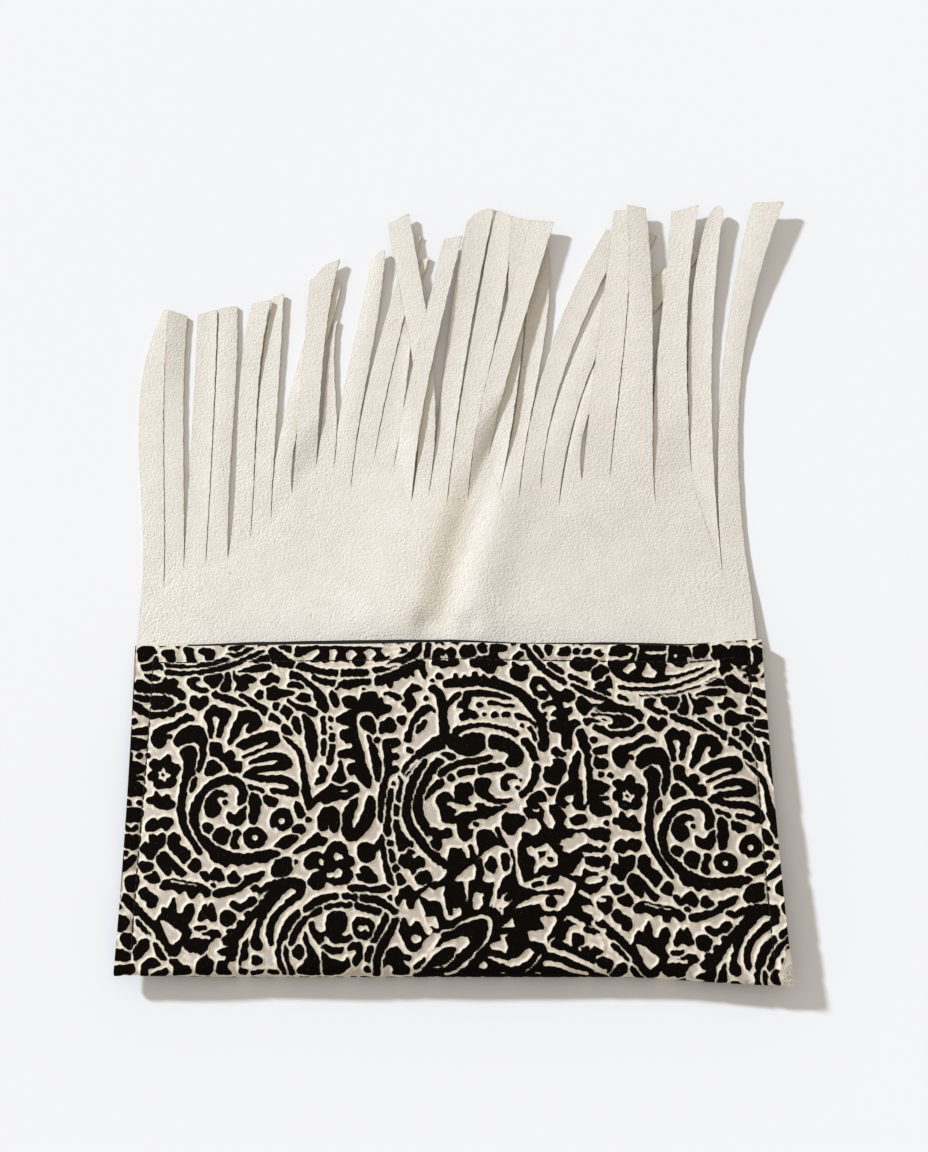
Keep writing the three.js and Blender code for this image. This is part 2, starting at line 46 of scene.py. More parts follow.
# ---------------------------------------------------------------- the print
# One repeat of a paisley, charted in millimetres on the flat panel:
#   s  width at start, width at end, points   brush stroke
#   l  width, points                          leaf, pointed at both ends
#   d  radius, point                          dot
#   o  radius, hole radius, point             ring
#   i  points                                 rounded shape
#   g  points                                 all-over ink, under the bare shapes
#   c  width at start, width at end, points   bare stroke
#   p  points                                 bare shape
#   e  radius, point                          dot over bare ground
#   j  points                                 rounded shape over bare ground
# A plus sign joins a row's shape to the one before it; other shapes are kept
# apart by a line of bare ground.
REPEAT = (190.3, -9.8)
CHART = """
i -130.6,70.5 -125,70.5 -123.6,68.6 -125.4,66.4 -128.6,64.6 -130.6,64.8
i -129.6,62.6 -126.4,63.6 -124.4,66.4 -122.4,65.4 -122,63.4 -119.6,62.6 -120.2,60.6 -123,61.2 -125.4,60.6 -128.6,60.4
i -127.6,58.4 -124.6,58.8 -122.4,57.4 -120.4,57.2 -120.6,55.4 -124,55.8 -126.2,57
i -131,56 -128,55.4 -125.6,54.2 -121.8,55 -119.6,57.4 -117.8,55.6 -115.6,56.4 -113.6,54.4 -114,52.2 -111.2,50.6 -110.2,48.4 -111.4,46.6 -114,48.8 -117,49.8 -121.6,50.2 -126,50.6 -131,51.4
s 2.6 2.4 -130.4,48.4 -124,47.8 -118.4,47.8 -116.2,46.2 -118,44.4 -123.4,44.6
i -132,47 -128.4,45 -125.4,42.4 -121,42 -116,42.6 -112.8,44.8 -110.2,45.2 -110,43.2 -111.8,42.2 -113.8,41.8 -114.6,39.8 -117,40.4 -118.6,39.2 -121,40 -123,39 -125.4,40.2 -128,41 -131.8,43.8
d 1.2 -131.2,38
i -132.2,33.8 -128.6,35 -125.6,35.8 -125.6,33 -129,32.4 -132,32.2
i -132.4,30.4 -127,30.2 -125.4,28.8 -126,26.6 -130,25.8 -132.4,26.2
d 1.0 -128.2,23.4
d 0.9 -124.4,23.2
s 1.2 1.2 -131.9,25 -131.7,20.6
i -132,20.2 -127,19.6 -125.2,18.4 -126.4,16.6 -129,15.6 -132,15.8
s 1.4 1.2 -129.6,13.8 -126.2,13.6
i -131.8,11 -127,10.6 -124.8,9.4 -125,7 -128,6.4 -131.8,6.6
d 1.3 -131.6,3.4
d 0.9 -126.8,3.2
i -116.2,23.4 -114.6,21.4 -114.4,19.6 -111.8,19.2 -110.6,16.6 -112.6,14 -112,11.4 -114.4,9.2 -117,9.6 -118.4,8.8 -121,10.4 -121.4,12.6 -123.6,13.6 -123.2,16 -121.6,17 -123.4,19.4 -122,21.6 -119.4,20.8 -118,21.8
p -117.8,18 -116.6,15.8 -114.2,15 -116,13.2 -116.6,11.6 -118.2,13 -120,12.6 -119.2,14.6 -120,16.4 -118.6,16.2
e 0.8 -117.7,14.6
i -120.4,8.4 -119,6.4 -117.6,4.8 -115.6,6.6 -114.6,5.6 -113.8,3.6 -112,2.6 -112.6,1 -116,0.4 -119.8,1.2 -121.4,3 -123.8,3.2 -123.6,5.2 -121,5.6
i -105.6,38.2 -108.4,40.4 -111.4,39.4 -114.4,37.2 -119,36 -122.6,33.6 -123.2,30.4 -121.6,27.4 -119,26.6 -117.6,28.6 -116.8,30.4 -114.6,30.4 -115.4,32 -118.2,31.8 -117,33.6 -113.6,34.6 -110.4,37
i -113.6,29.6 -112,32.6 -108.4,35 -104,35.2 -100.6,32.4 -99.8,27.6 -100.2,22.4 -101.6,17.2 -103,15.4 -103.4,18.6 -102.4,24 -103.2,27.2 -105.6,28.6 -108.6,28 -111.4,26.6 -113.4,27.6
i -110.8,24.6 -109.4,26.6 -107,26.8 -104.6,25.2 -103.8,22.4 -104.6,18.4 -104.4,15 -106.4,12.6 -107,8 -107.8,4 -107.8,0 -107,-4 -105,-9 -102.6,-13.4 -99.8,-18.4 -101.4,-18.6 -104.4,-14.6 -107.4,-10 -109.8,-5 -110.8,0 -110.4,6 -109.4,13 -109,20
l 2.6 -104.2,13.2 -105.9,7.2
s 3.2 3.6 -84.6,2.8 -84.2,7 -86.6,10.8 -91.6,11.9 -96.6,10.2 -100.6,6.2 -103.4,1 -104.2,-4 -102.6,-9 -98.6,-14.2 -93,-18.2 -86.6,-20.4 -79,-20.6 -69.8,-18.6
+i -96.8,-17.6 -95.6,-21.4 -92,-22.2 -90.4,-24 -88,-22.8 -85,-23.4 -83,-22.6 -80.4,-23.2 -78,-22.2 -74,-22.2 -72,-20.8 -72,-18 -82,-19 -90,-18
i -99.2,30.6 -100.2,34.6 -102,37.4 -101.8,41 -99.6,44 -97.2,43.4 -94.6,42.4 -92.2,43.2 -91,41 -91.8,36.6 -93.6,32 -95.2,29.8 -96.4,31 -95.6,34.4 -94.4,37.6 -95.6,39 -97.4,37.8 -98,34 -97.4,31.2
i -90.8,26.8 -91.8,29 -90,32.4 -88.2,37 -87.4,40 -84.6,41.8 -81.4,41 -78.8,39 -77.6,36.2 -79.2,33.2 -81.8,31 -83.8,32 -83.8,34.4 -84.2,36 -86,32.4 -87.6,29.6 -89.4,27
i -88.4,26.6 -84.6,28.8 -81.4,32 -76.6,32.6 -71.6,32.4 -70,30.4 -71,28.4 -75,27.8 -79.6,27.2 -83.6,25 -86.6,24.4
i -85.6,21.6 -82,22.8 -77,25.2 -72.6,27 -70.4,26.4 -70.6,25 -75,23.4 -80,21.6 -84,20.4
i -82.8,18.4 -80,19.8 -75.6,22.6 -70,23.2 -66,21.6 -64.6,19 -66.8,17.8 -71.6,19.4 -76.4,18.8 -80,17 -82.6,16.8
i -84.6,14 -81,16.2 -77.4,17.2 -72,18 -67.4,17 -64.8,15.6 -64.6,13.2 -69.4,14.4 -75.6,14.6 -80,13 -84,12.6
i -83.6,12.2 -79.6,12.8 -74.6,12.4 -69.6,11.4 -65,9.6 -65.8,8 -70.4,9.4 -75,10.2 -79.4,10 -82,11
s 2.2 1.6 -81.2,9.2 -76.4,7
i -74.6,5.6 -72.4,7 -70.4,8.6 -65.8,6.2 -66.2,4.8 -69.6,5.4 -69.8,2 -71.8,0.4 -74.6,1.4 -75.6,3.4
i -80.6,6 -78.4,6.4 -77,2 -77.4,-3 -78.4,-6.4 -80.4,-6.6 -81.6,-3 -81.2,2
i -98.6,25.4 -98,28 -95.6,28.4 -93.6,26.4 -93,24 -91.4,23 -90.6,25 -88.6,24.6 -87.6,22 -89,20.2 -92,19.6 -95,21.4 -97.6,22.8
+i -90.4,18.6 -89.4,20.6 -85.6,20 -84.6,17.4 -86,15 -88.6,15.4
i -99.8,14.4 -99.6,18.6 -97,20.2 -94.4,19 -93.2,16.4 -95.6,15.2 -98,14
i -99.4,-1 -100,3 -98,6.4 -95,7.6 -91.6,6.6 -91,5.2 -93.8,5 -95.2,3.4 -93.6,1 -93.2,-1.6 -95.6,-3.4 -98,-3
d 0.8 -91.4,2.4
i -108,46.6 -106.8,48.6 -105,47.8 -104.2,46.2 -102.4,48.2 -100.8,47.4 -100.6,45 -102.6,43.2 -104.6,42.4 -107,43.8
i -98.8,49.4 -96.4,50 -92,48 -88,46.6 -84.4,44.6 -84.2,43.2 -87,43.6 -91.4,45.2 -95.4,46.6 -98.4,48
i -87.8,47.6 -86.4,48.8 -83.4,47.4 -80.4,45.4 -77.6,43.4 -74.6,42.4 -75,40.4 -77.4,39.6 -78.8,41.4 -81,43 -84,45.2
i -75,41.8 -72.6,39.6 -70.6,38 -69.4,35.8 -70.6,35.4 -72.6,37 -74.6,37.4 -74.4,39.4
i -109.4,53.6 -108.8,56.4 -106,57.2 -104.8,55.6 -106.4,53.6 -104,51.8 -100.6,51.4 -100.4,50.2 -103,49.8 -106.6,51.4
i -102.4,55 -101.6,57.2 -99,57.4 -95.6,57.8 -94.6,56 -95.8,53.4 -98.4,51.8 -100,53.4
i -93.4,58 -91.6,58 -91.2,54 -92,50.2 -95,49.6 -95.4,51.6 -94.2,54
i -90.8,59.2 -89,57.4 -87.6,55.4 -86.4,57.6 -83,57 -80.8,55.4 -82,54 -84.6,53.6 -83.8,51.6 -86,50.2 -88.4,51 -89.6,50 -88.6,53.4 -89.8,56
i -88.4,58.4 -83.4,60.6 -78.8,61.6 -75.2,62 -75.4,59.6 -79,58.8 -84,58.6
i -78.8,54.8 -76.6,55.4 -75.4,57.8 -73,57.2 -70.6,55 -71.8,53.6 -73.8,54 -75.4,52.6 -77.6,53
i -80.4,49 -78.8,50.4 -77.2,49.4 -77.4,47 -79.4,46.4
i -76.4,48.6 -75,51.6 -73,52.4 -71,50.8 -67.6,50.2 -64.4,50.6 -64,48 -68.6,47.6 -72,46.2 -75.4,46.6
i -121.2,67.6 -119.4,69.2 -116.4,69 -115.6,66.4 -115.2,64.6 -116.6,63.4 -118.4,64.4 -119.6,66
i -111.6,69.4 -108,69.4 -107.6,66 -106.4,63.6 -107.6,62.8 -109.6,63 -110,65
i -105.6,69 -101,69.2 -98.6,67.8 -98.8,65 -100.6,64 -102.4,65 -102,66.6 -104.6,67.2
s 2.0 1.6 -119.4,62.6 -113,61.4 -106,61.5 -99,62.6 -93,64.8
s 2.4 1.8 -118,59.4 -110,58.8 -103,59 -95,60.6 -88,63 -82,65.6 -78.8,67.6
l 2.4 -94,66 -89,66.8 -83,69
l 2.6 -92.6,69 -89,69 -86.4,70
i -85,63 -81.4,64.6 -78.4,66.4 -76.4,65.6 -74.6,62.6 -73.4,63 -75.6,66.8 -74.6,69 -71,67.4 -67.6,64.4 -64.6,62.4 -66,60.2 -69,60.6 -71.4,61 -74.4,63
i -72,69.6 -69,68.4 -66.4,66.6 -65,68 -67,70
i -132.8,0.6 -126,0.6 -125.4,-2 -127,-4.4 -132.6,-4.4
s 1.6 1.4 -132,-7 -129.6,-8.4 -127.6,-7
i -132.6,-10.4 -127,-10.2 -125.4,-12 -126.2,-15 -129.4,-16.2 -132.4,-15
d 1.0 -131.6,-17.6
i -133,-22 -129.6,-19.6 -127.2,-18.6 -127,-20.6 -129,-23 -132,-25
i -125.6,-22.2 -123.6,-21.6 -121,-21.6 -120,-23.4 -121,-25.6 -124,-25.4
i -131,-29 -129,-27 -126,-26.8 -125.2,-30 -126.6,-33 -129.4,-33.4
d 0.9 -132.8,-35.6
d 1.0 -132.6,-39.4
i -133.6,-44 -130.4,-43.4 -128.6,-46 -130,-49 -133.4,-49
i -131.4,-52 -128.6,-50.6 -126,-52 -124.8,-54.4 -126.4,-57 -129.4,-55.6
i -134,-57.4 -131,-57 -126.6,-59.4 -126.6,-61.6 -130,-61.4 -133.6,-60.4
i -134,-64 -129,-63.4 -125.6,-62.6 -125.4,-66 -129,-66.6 -134,-67.4
i -123.6,-8 -123,-5 -120.4,-3.6 -119,-5 -117,-3.4 -113.4,-3.6 -112.8,-6 -115,-8.4 -117.6,-7 -119.6,-8.4 -121.6,-8.8
i -122,-10.4 -119.6,-10.8 -116.6,-9.8 -115,-12 -116.4,-15.4 -118.4,-16.6 -119,-19 -121.4,-20.6 -123.4,-18 -125.4,-16.4 -124.6,-13.6 -121.6,-14
i -114.2,-11.6 -111.6,-9.8 -109.2,-11.6 -109.4,-14.6 -107,-16 -104.8,-18.4 -105,-21 -107.2,-22.4 -109.4,-20 -112,-17.4 -114,-14.6
i -118.4,-19 -115.6,-17.4 -113.4,-19.4 -110.8,-22 -108.4,-24.4 -106,-26.4 -107.6,-27.8 -110,-26.4 -112,-23.4 -113.4,-22.6 -112.4,-25.4 -113.4,-27 -116,-24.6 -118.6,-21.4
i -105.2,-23.6 -103.4,-20.8 -100.8,-21.2 -100.8,-24.4 -102.6,-25.8
i -121,-26.4 -119.2,-25.4 -117.6,-26.6 -116.6,-29 -118.4,-30.4 -121.4,-29.4 -123,-27.6
i -100.4,-26.6 -98.4,-26 -97,-28 -95.6,-26 -93.4,-24.4 -91.4,-26 -90.6,-29 -92.6,-30.4 -95,-29.4 -98,-29.6
i -116.4,-32 -115.4,-29.8 -112,-28.8 -107,-29.8 -101,-30.8 -97.6,-32 -95.6,-34 -97.6,-36.4 -99.4,-34.4 -101,-34 -102.4,-36.4 -104.4,-36.2 -105,-33.6 -107,-33.4 -108.4,-34.6 -110,-33.2 -112,-32.6 -114,-33
c 0.8 0.6 -112,-29.6 -107,-30.6 -101.6,-31.6
d 1.0 -94.8,-31.2
i -89.4,-29 -88,-26.6 -86.4,-26.2 -85.6,-28 -83.6,-28.6 -84,-30.4 -87,-31
i -74.6,-25.8 -75.4,-28.4 -79,-31 -84,-33.6 -90,-35.8 -94,-36 -94,-34 -90.4,-33 -86,-31.8 -82,-29.6 -82.6,-28.4 -79.4,-27.6
i -79.8,-32.4 -77.6,-31.4 -75.8,-33 -73.4,-31 -71.4,-30.6 -71.6,-33 -73.6,-34.4 -74.2,-36.6 -76,-36.6 -76.6,-34.4 -79,-33.6
i -71.6,-26 -69.6,-22 -66,-20.4 -63.6,-21 -63.4,-26 -66.4,-28 -70,-28.4
i -87.8,-39 -86,-38 -84.4,-39.4 -82,-38.8 -80.4,-37 -78.4,-36.4 -77,-38 -78.4,-40 -81,-40.4 -83,-42 -86,-41.2
d 3.0 -88.6,-44.8
i -125,-33.6 -122.6,-32 -121,-34 -118.6,-35 -117.2,-37.4 -118.4,-39.8 -121,-39.4 -121.4,-37.4 -123.4,-36.6
s 3.2 3.6 -130.6,-36.4 -125.6,-41 -121,-45.6 -117,-50 -113.4,-54.6 -109.8,-58.4
+i -118.6,-47.6 -116,-43.6 -115,-40.6 -112.6,-41 -111.4,-38 -110.2,-36.6 -109.6,-40 -109,-42.8 -106.6,-43 -105.8,-40.4 -103.4,-38.8 -102.2,-41 -102.8,-44 -104.6,-47 -103.6,-49 -101.6,-50.4 -98.8,-51.6 -95.6,-49.6 -92,-50 -91.2,-52 -93,-54.4 -94.4,-56.6 -97,-57.4 -98.6,-59.6 -101.4,-58.4 -103,-60 -105.8,-58.4 -109,-59.4 -112,-56.6 -116,-51.4
p -116.2,-45.2 -112,-46.4 -110.4,-48 -106.4,-51 -107,-52.6 -110.2,-55.6 -112.4,-52.8 -114,-49.4
i -100.4,-44.6 -99.4,-42 -97.8,-39.2 -96.8,-41.6 -95.4,-38.8 -94.4,-40 -93.4,-43 -92.4,-45 -95,-45.8 -97,-44.6 -99.4,-46
s 1.8 1.2 -100.8,-49 -97.6,-48.4
i -99.6,-62 -98.4,-60.4 -95,-59 -93.8,-62 -94.4,-66 -97,-67.4 -100.4,-66.4
i -118.2,-54.4 -115.6,-54.6 -113,-59 -113.4,-61.4 -115.6,-60.4 -117,-57
i -126,-56.6 -124,-54.2 -121,-52.6 -119.4,-54.6 -120.4,-57 -123.4,-60.4 -125.6,-61
s 2.4 2.0 -124.4,-45.6 -118.8,-51
i -122.4,-66 -121.6,-62.4 -119,-60.8 -116.4,-61 -114.6,-62.6 -117,-64 -119.4,-64.6 -120,-67.4 -122.4,-68
i -118.6,-67.6 -116,-66 -112.6,-64.8 -112,-66.6 -115,-68.4
i -111.4,-61.4 -108.6,-60.8 -106,-63.4 -103,-64 -102.8,-66.6 -106.4,-66.8 -109.4,-67.4 -109,-64.6
s 3.6 4.2 -65,-30.6 -71,-36 -76,-41.8 -81,-47.6 -85.6,-52 -90,-55.4
+s 2.6 2.0 -72.6,-37 -74.6,-35.6
+s 2.6 2.0 -78,-44.4 -80.6,-43
+s 2.8 2.0 -81.4,-48.4 -84,-46.8
+s 3.0 2.0 -84.6,-51.4 -87.4,-50
+i -92,-57.4 -89.4,-56.4 -86.4,-54 -84.4,-54.6 -84.2,-58 -84.6,-61 -87,-61.4 -88.4,-64 -86.8,-67 -91.6,-67 -92,-63 -90,-60.6
c 0.9 0.9 -77,-45 -81,-51 -83.8,-58 -84.6,-67
i -83,-66 -82.8,-62.6 -81.4,-63.4 -79.4,-62 -79.8,-67 -82.6,-67.4
i -82,-58 -80.6,-53 -78.6,-50 -77.4,-52 -75.4,-54 -73.6,-55.4 -74.4,-58 -78.4,-58.8
i -78.4,-60.6 -75.4,-59.8 -73.6,-61.6 -74.4,-64 -78,-64.2
s 2.0 1.8 -78.6,-66.6 -73.6,-65.8
s 3.0 3.2 -68.8,-40 -71.6,-46 -72.6,-52 -71,-56
s 2.0 1.8 -72,-66.2 -68,-66.4
d 2.1 -98.2,-8
d 3.4 -92,-11.4
s 3.0 2.6 -86,-10.6 -87.6,-13.4 -86.6,-16
o 4.2 1.2 -78.6,-12.4
i -90,-1.6 -90,-5 -87,-6.8 -84.4,-6.6 -82.6,-3 -82.4,0 -82.8,1 -83.8,0.6 -85.4,-1.6 -87.4,-2.8
i -72,-4 -70,-1.4 -66.6,-0.4 -64.4,-2.6 -63.6,-6 -65.6,-9 -69,-9.6 -70,-8 -72.2,-7.6
c 2.4 2.4 -68,-5.7 -67.9,-5.6
i -71,-16.4 -68,-13.4 -64.4,-11.6 -60.8,-11.2 -62,-14 -65,-16.4 -69,-17.6
i -65.4,69 -60,69.4 -50,69.4 -42,69.2 -34,69 -27.4,68.4 -26.6,66.6 -25,64.4 -26.4,62.6 -29,63.2 -31,62.6 -32,64.4 -34,63.4 -36,61.6 -38.6,60.6 -40.4,62.4 -43,62.4 -45,63.4 -48,62.6 -50,63 -52,62.4 -54.6,63.2 -56.8,62.4 -59,64.4 -60.6,66.4 -62,65.4 -65,65.6
p -60.8,64 -60,66.2 -57.6,67.6 -55,68 -54.4,66.4 -56.4,65 -57.6,63.4
p -50.4,68.2 -48,68.4 -46.8,66.6 -48,64.6 -48.4,62.4 -49.8,62.8 -50.2,66
p -43.6,66.6 -42,68 -39.8,67.6 -38.8,66 -40.6,64 -41.4,61.8 -43,64.4
p -36.2,66.6 -34.8,68.2 -32,68 -30.8,66.4 -32,64.6 -33.4,63 -34.2,61.8 -35.2,62.8 -34.8,65
p -28.6,67.4 -26.4,69.6 -22,69.2 -20,68 -22,66.4 -24.4,66 -26.6,64.8
i -23.6,68 -20,68.6 -17.8,67.4 -20,66.6
s 3.4 2.6 -12.8,69 -15.8,65.2 -20.4,63 -25.6,61.7
s 2.2 2.4 -32.6,58.4 -27.4,59.4 -22.6,61
i -10.6,62.4 -14,63.2 -18.4,61.2 -22,59.6 -26,57.4 -30.6,55.6 -31,53 -28,52 -26.4,53.4 -25,50.6 -23.4,52 -24,54 -21.6,54.6 -19.4,56.2 -17.6,55 -16.6,57 -15,55.8 -15,58.6 -12.6,59.4 -10.6,55 -9.4,56.2 -10.4,59
s 2.6 2.4 -9.2,69.6 -9.6,65.6
i -7,63 -6.6,66.6 -4.6,68.6 -2,67.6 0.4,68.8 2.4,67 2.2,64.4 4,62.4 2,60.4 0,61 -2.6,59.6 -5,60.8 -7,61.2
p -4.4,65 -2.4,65.4 -1.6,66.6 -0.8,65 -1,63.2 -2.6,63.4 -4.2,62.6 -3.4,64
d 1.2 -4.2,55.9
d 0.7 -7,53.9
s 2.8 2.6 -62.6,61 -58,59.4 -52.6,57.8 -47,57.5
s 2.8 2.6 -44.6,57.6 -39.4,57.6 -33.6,58
s 2.4 2.6 -56,55.6 -52,53.8 -48.4,53.2
i -47.4,50 -45.8,53.4 -42,54.2 -37,54.6 -33,54.6 -33.4,52.6 -38,51.8 -42,50.4 -45,51.6
d 0.6 -35.6,50.2
i -66,58.4 -62.6,57.4 -60.4,55 -57,52.8 -54.4,50.6 -51.8,47 -50.2,43 -51,40 -53,41.4 -55,43.4 -54,45 -56.4,46.4 -56,49.4 -58.4,51.6 -61,53.4 -64,55.4 -66,55
i -49.4,49.4 -47.6,49 -45.8,44.4 -46.4,42.6 -48,43 -49.6,46.4
i -66.6,53.4 -62,53.6 -61,51.4 -63.4,50.4 -66.6,51
i -64.6,46.4 -62.4,48.4 -58.4,48.2 -57,46.6 -58.8,44.6 -62.4,45
i -66.6,46.6 -62,43.8 -58,42.4 -55,41.2 -55,38.8 -58,39 -61.6,41 -66.6,43.4
i -44.4,45.4 -42.6,47.2 -39.6,46.8 -38,44.6 -37.2,43 -36.6,47.6 -34,49 -30.8,48.8 -29.8,45 -28.4,46.8 -27.4,44 -24.4,43.2 -24.2,41.2 -27,39.6 -29,38.8 -30,36.8 -31.2,38.8 -32.4,40.6 -36,40.8 -38.6,39.6 -40.2,41.8 -42.4,42.4
+i -40.6,41 -38.4,40.4 -38.6,36 -37.6,30 -36,24 -34,17.4 -32,11.4 -32.6,8 -35,9.4 -37.4,12 -38.4,14 -40,13.2 -41.6,15.4 -41,17.6 -38.8,18 -38,19.6 -41.6,20.6 -45.4,21 -45.8,22.6 -42.4,24 -39.4,25 -39.8,27 -42.4,27.4 -45,29.4 -44.6,31.6 -42.4,32.6 -40.6,33.4 -39.4,34.4 -42.6,34.6 -46.6,36 -46,38 -43.6,39.4
i -36.8,35.6 -35.6,38 -33,38.4 -31,36.4 -30.2,33 -31.4,31 -33.4,31.6 -35.4,33
i -33.4,30.4 -32.2,28.6 -30,24 -28.2,19 -27.8,13.6 -28.6,10.6 -30,11.2 -30.8,16 -32,22 -33.2,27
d 1.1 -29.8,28
i -29,35 -27,36 -25.6,37.6 -23.4,37.2 -22,35 -22.4,32.6 -24.4,31.2 -26.6,31.6 -28.2,31
i -27,28 -23.6,28.4 -21.4,28.8 -20.2,27 -21,25.6 -23.6,25 -23.8,22.6 -21.4,22.4 -20.6,20.4 -23.4,19.4 -24,17 -21.4,16.6 -20.6,14.6 -23.4,13.8 -25,11.4 -25.8,7 -26.6,2 -26.6,-5 -27.6,-6.4 -28.6,-4 -28.8,1 -28.4,6 -27.4,11 -26.8,14 -26.4,20 -27,25
d 1.4 -21.8,9.4
s 2.4 2.4 -23.2,6.6 -24.2,0 -24.9,-6 -25,-11.4
i -27.4,48 -24.6,47.6 -21.6,45.4 -19,44.6 -18.6,46 -22,48 -25.4,49
i -16,52 -13.4,52 -11.4,50.4 -14,49.4 -16.6,49 -15,47 -14,44 -15.4,41.4 -17.4,40.4 -18,42.6 -20,43.4 -19.6,46.6 -18.4,49
i -21,38 -18.6,38.4 -18,36.4 -19.4,35 -21.2,36
d 0.8 -9.6,46.2
i -8.6,43.2 -10.6,42.8 -13.6,40 -15.6,37 -17,33 -18.4,29.8 -18,27.4 -15.8,28 -15.6,31 -14.4,34.6 -12,37 -10,39.6 -7.4,41 -5.6,40 -7.4,42.4
i -14,32 -13,34.4 -11,37 -9.6,36.6 -10.2,34 -11.4,32.4 -13,31.2
d 1.1 -16.2,23.7
s 3.0 3.4 -7,50.6 -4,48 -3,42 -2.4,36 -0.8,30
+i -0.8,29.6 -4,29.8 -7,28.6 -10.4,25.4 -13.6,23 -15.6,20.4 -18,17.4 -19.4,13 -18.4,11.4 -16,15 -13,18.4 -9.4,21.6 -6,23.6 -2,24.6
c 0.8 1.2 -18,13.4 -15.6,17 -13.4,19.6
s 3.2 3.4 -3.6,19.6 -8.4,13.6 -11.4,7 -12.6,2 -12.4,-3 -10.2,-8 -7,-12.4
s 2.6 2.2 -2.4,21.5 1.4,20.6
d 1.5 0.8,12.1
s 3.0 3.4 -10.4,18.6 -13.6,13 -16,7 -17.4,1 -17,-4 -15,-9 -11.4,-14.4 -7,-19 -1.4,-23.4
s 2.4 2.4 -19.6,12 -20.6,6.6 -20.8,2
s 2.4 2.4 -21.4,0.6 -21.8,-3
i -22.4,-5.4 -21,-5.6 -19.4,-10 -17,-13.4 -14.6,-14.6 -14.6,-16.2 -17,-16.4 -19.4,-18.4 -20.8,-16 -21.4,-12 -22.4,-8
s 2.6 2.8 -9,3.4 -6.8,6.8 -3.6,9.6
s 3.2 2.8 -68.4,28.8 -62.6,23.4 -60.6,17 -58.8,9 -57.4,3.4
+i -58.8,5 -57,2.6 -54.6,3.4 -54,5 -50.4,7.4 -47.4,9.6 -44.4,8.4 -41.4,9.6 -38,9.4 -36.4,7 -38.4,4.4 -42,3.4 -46,3 -50,1 -52.4,2.6 -55,1 -58,-1.6
p -46.4,5.4 -44.4,6.4 -42,6 -41,6.8 -43.4,7.2 -46,6
l 4.8 -60,39.4 -57,30 -55.8,19.6
l 3.6 -64.6,39 -61.2,31
i -69,35.4 -66,33.6 -64.6,31 -66.8,30.4 -69,32.4
s 1.8 1.8 -52,37.4 -51.2,31
d 1.0 -49.2,37.4
d 0.6 -49,33.4
s 2 2 -48.5,30 -48.3,28
s 2.0 1.8 -51.4,28 -51.2,22.6
s 2.4 2 -48.2,25.4 -49,18.6
i -53.4,15.4 -52,17.2 -50.4,15.4 -50.2,12 -51.4,10.4 -54.4,9.6 -54.2,11.6 -52.4,12.6
i -45.4,18.6 -43.9,18.6 -43.6,15 -42.4,12.4 -42.6,10.2 -45,9.8 -47.6,11.4 -46.8,13.6 -45.4,15.4
i -66.6,12.4 -63,10.6 -61.6,7.6 -62.6,4.6 -65.6,3.6 -66.6,7
i -53,-7.4 -52.6,-3 -50.4,-0.4 -47.4,0.2 -45,-2 -44.2,-5 -44.6,-8.6 -47,-10.4 -48.4,-8 -48,-5.4 -49.4,-6.4 -49.6,-9 -51.6,-9.6
d 1.0 -57.2,-5.2
i -62.4,2 -59.4,0.4 -58.4,-2.4 -60,-4.6 -62,-3
i -63,-8.4 -60,-7 -58.4,-9 -59.6,-11 -62.4,-10.6
i -62.6,-18.4 -59,-15.4 -55.4,-12.6 -53,-10.4 -51.4,-12.4 -49.4,-13 -50.4,-15.4 -53,-15.8 -56.4,-16.6 -59.6,-18.4 -62,-19
i -40.6,1.6 -43.2,-3 -43.6,-8 -42.4,-12 -39.8,-14 -36.6,-13 -33.6,-9.6 -31.2,-6 -30.2,-2 -30.6,3 -32.6,4.4 -33.6,1 -34.4,-2 -36.4,-6 -38.4,-9.4 -39.6,-8 -39.2,-4 -37.6,0 -36.8,3.4 -38.4,4
i -58.4,-23.4 -57,-20 -53.6,-18.2 -50.6,-20 -49.6,-18 -47.4,-14.8 -44,-14.4 -41.4,-16.4 -40.8,-19.4 -39,-20.8 -38.6,-23 -40.4,-25 -38.8,-27 -39.8,-30 -42.4,-31.4 -46,-31.6 -49.2,-30 -51,-33 -54.6,-33.4 -56.4,-30.4 -54.6,-27.4 -51.4,-26 -53.4,-24.6 -56,-25.4
p -46,-18.6 -43,-19.4 -42.6,-21 -45,-22 -46.4,-20.6
p -46.6,-27.6 -44.8,-24.8 -42.6,-26.4 -43.4,-28.6 -46,-29.4
p -52,-21 -50.6,-22.2 -50.4,-24.2 -51.6,-24 -52.2,-22.4
p -49.6,-26.8 -47,-26.4 -46,-28 -49,-29
d 0.8 -62,-22.6
i -37,-18 -36,-15.6 -33.2,-14.6 -30.6,-16 -28.4,-13.6 -27,-11.4 -26.2,-13 -25.6,-17 -24.6,-22 -23.4,-27 -21.8,-31 -22.6,-32 -24.4,-31 -25.8,-27 -26.8,-21 -28.2,-16.4 -29.6,-18.4 -30.4,-21.4 -33,-22.6 -35.8,-21.4
i -37.4,-27.4 -36,-29.6 -33.6,-30.6 -30.4,-31 -29,-30 -30,-27.4 -32,-25 -34.2,-24.2 -35.8,-25.4 -34,-27.4 -36,-27.6
i -40.4,-32.4 -37.4,-31.8 -33,-32.6 -29.4,-32.4 -26,-32 -23.6,-33 -24.4,-34.6 -29,-34.8 -34,-34.6 -39,-34.4
s 2.4 2.4 -42,-36.5 -37.4,-36.6
s 2.8 2.6 -57,-41.8 -53.6,-38.8 -49.6,-37.2 -45.4,-36.6
s 2.8 2.6 -34.8,-36.8 -29.6,-37.8 -25,-40 -20.6,-43.6
d 0.9 -23.6,-36.7
s 2.0 2.2 -48.6,-40.6 -44,-39.6 -40,-39.7
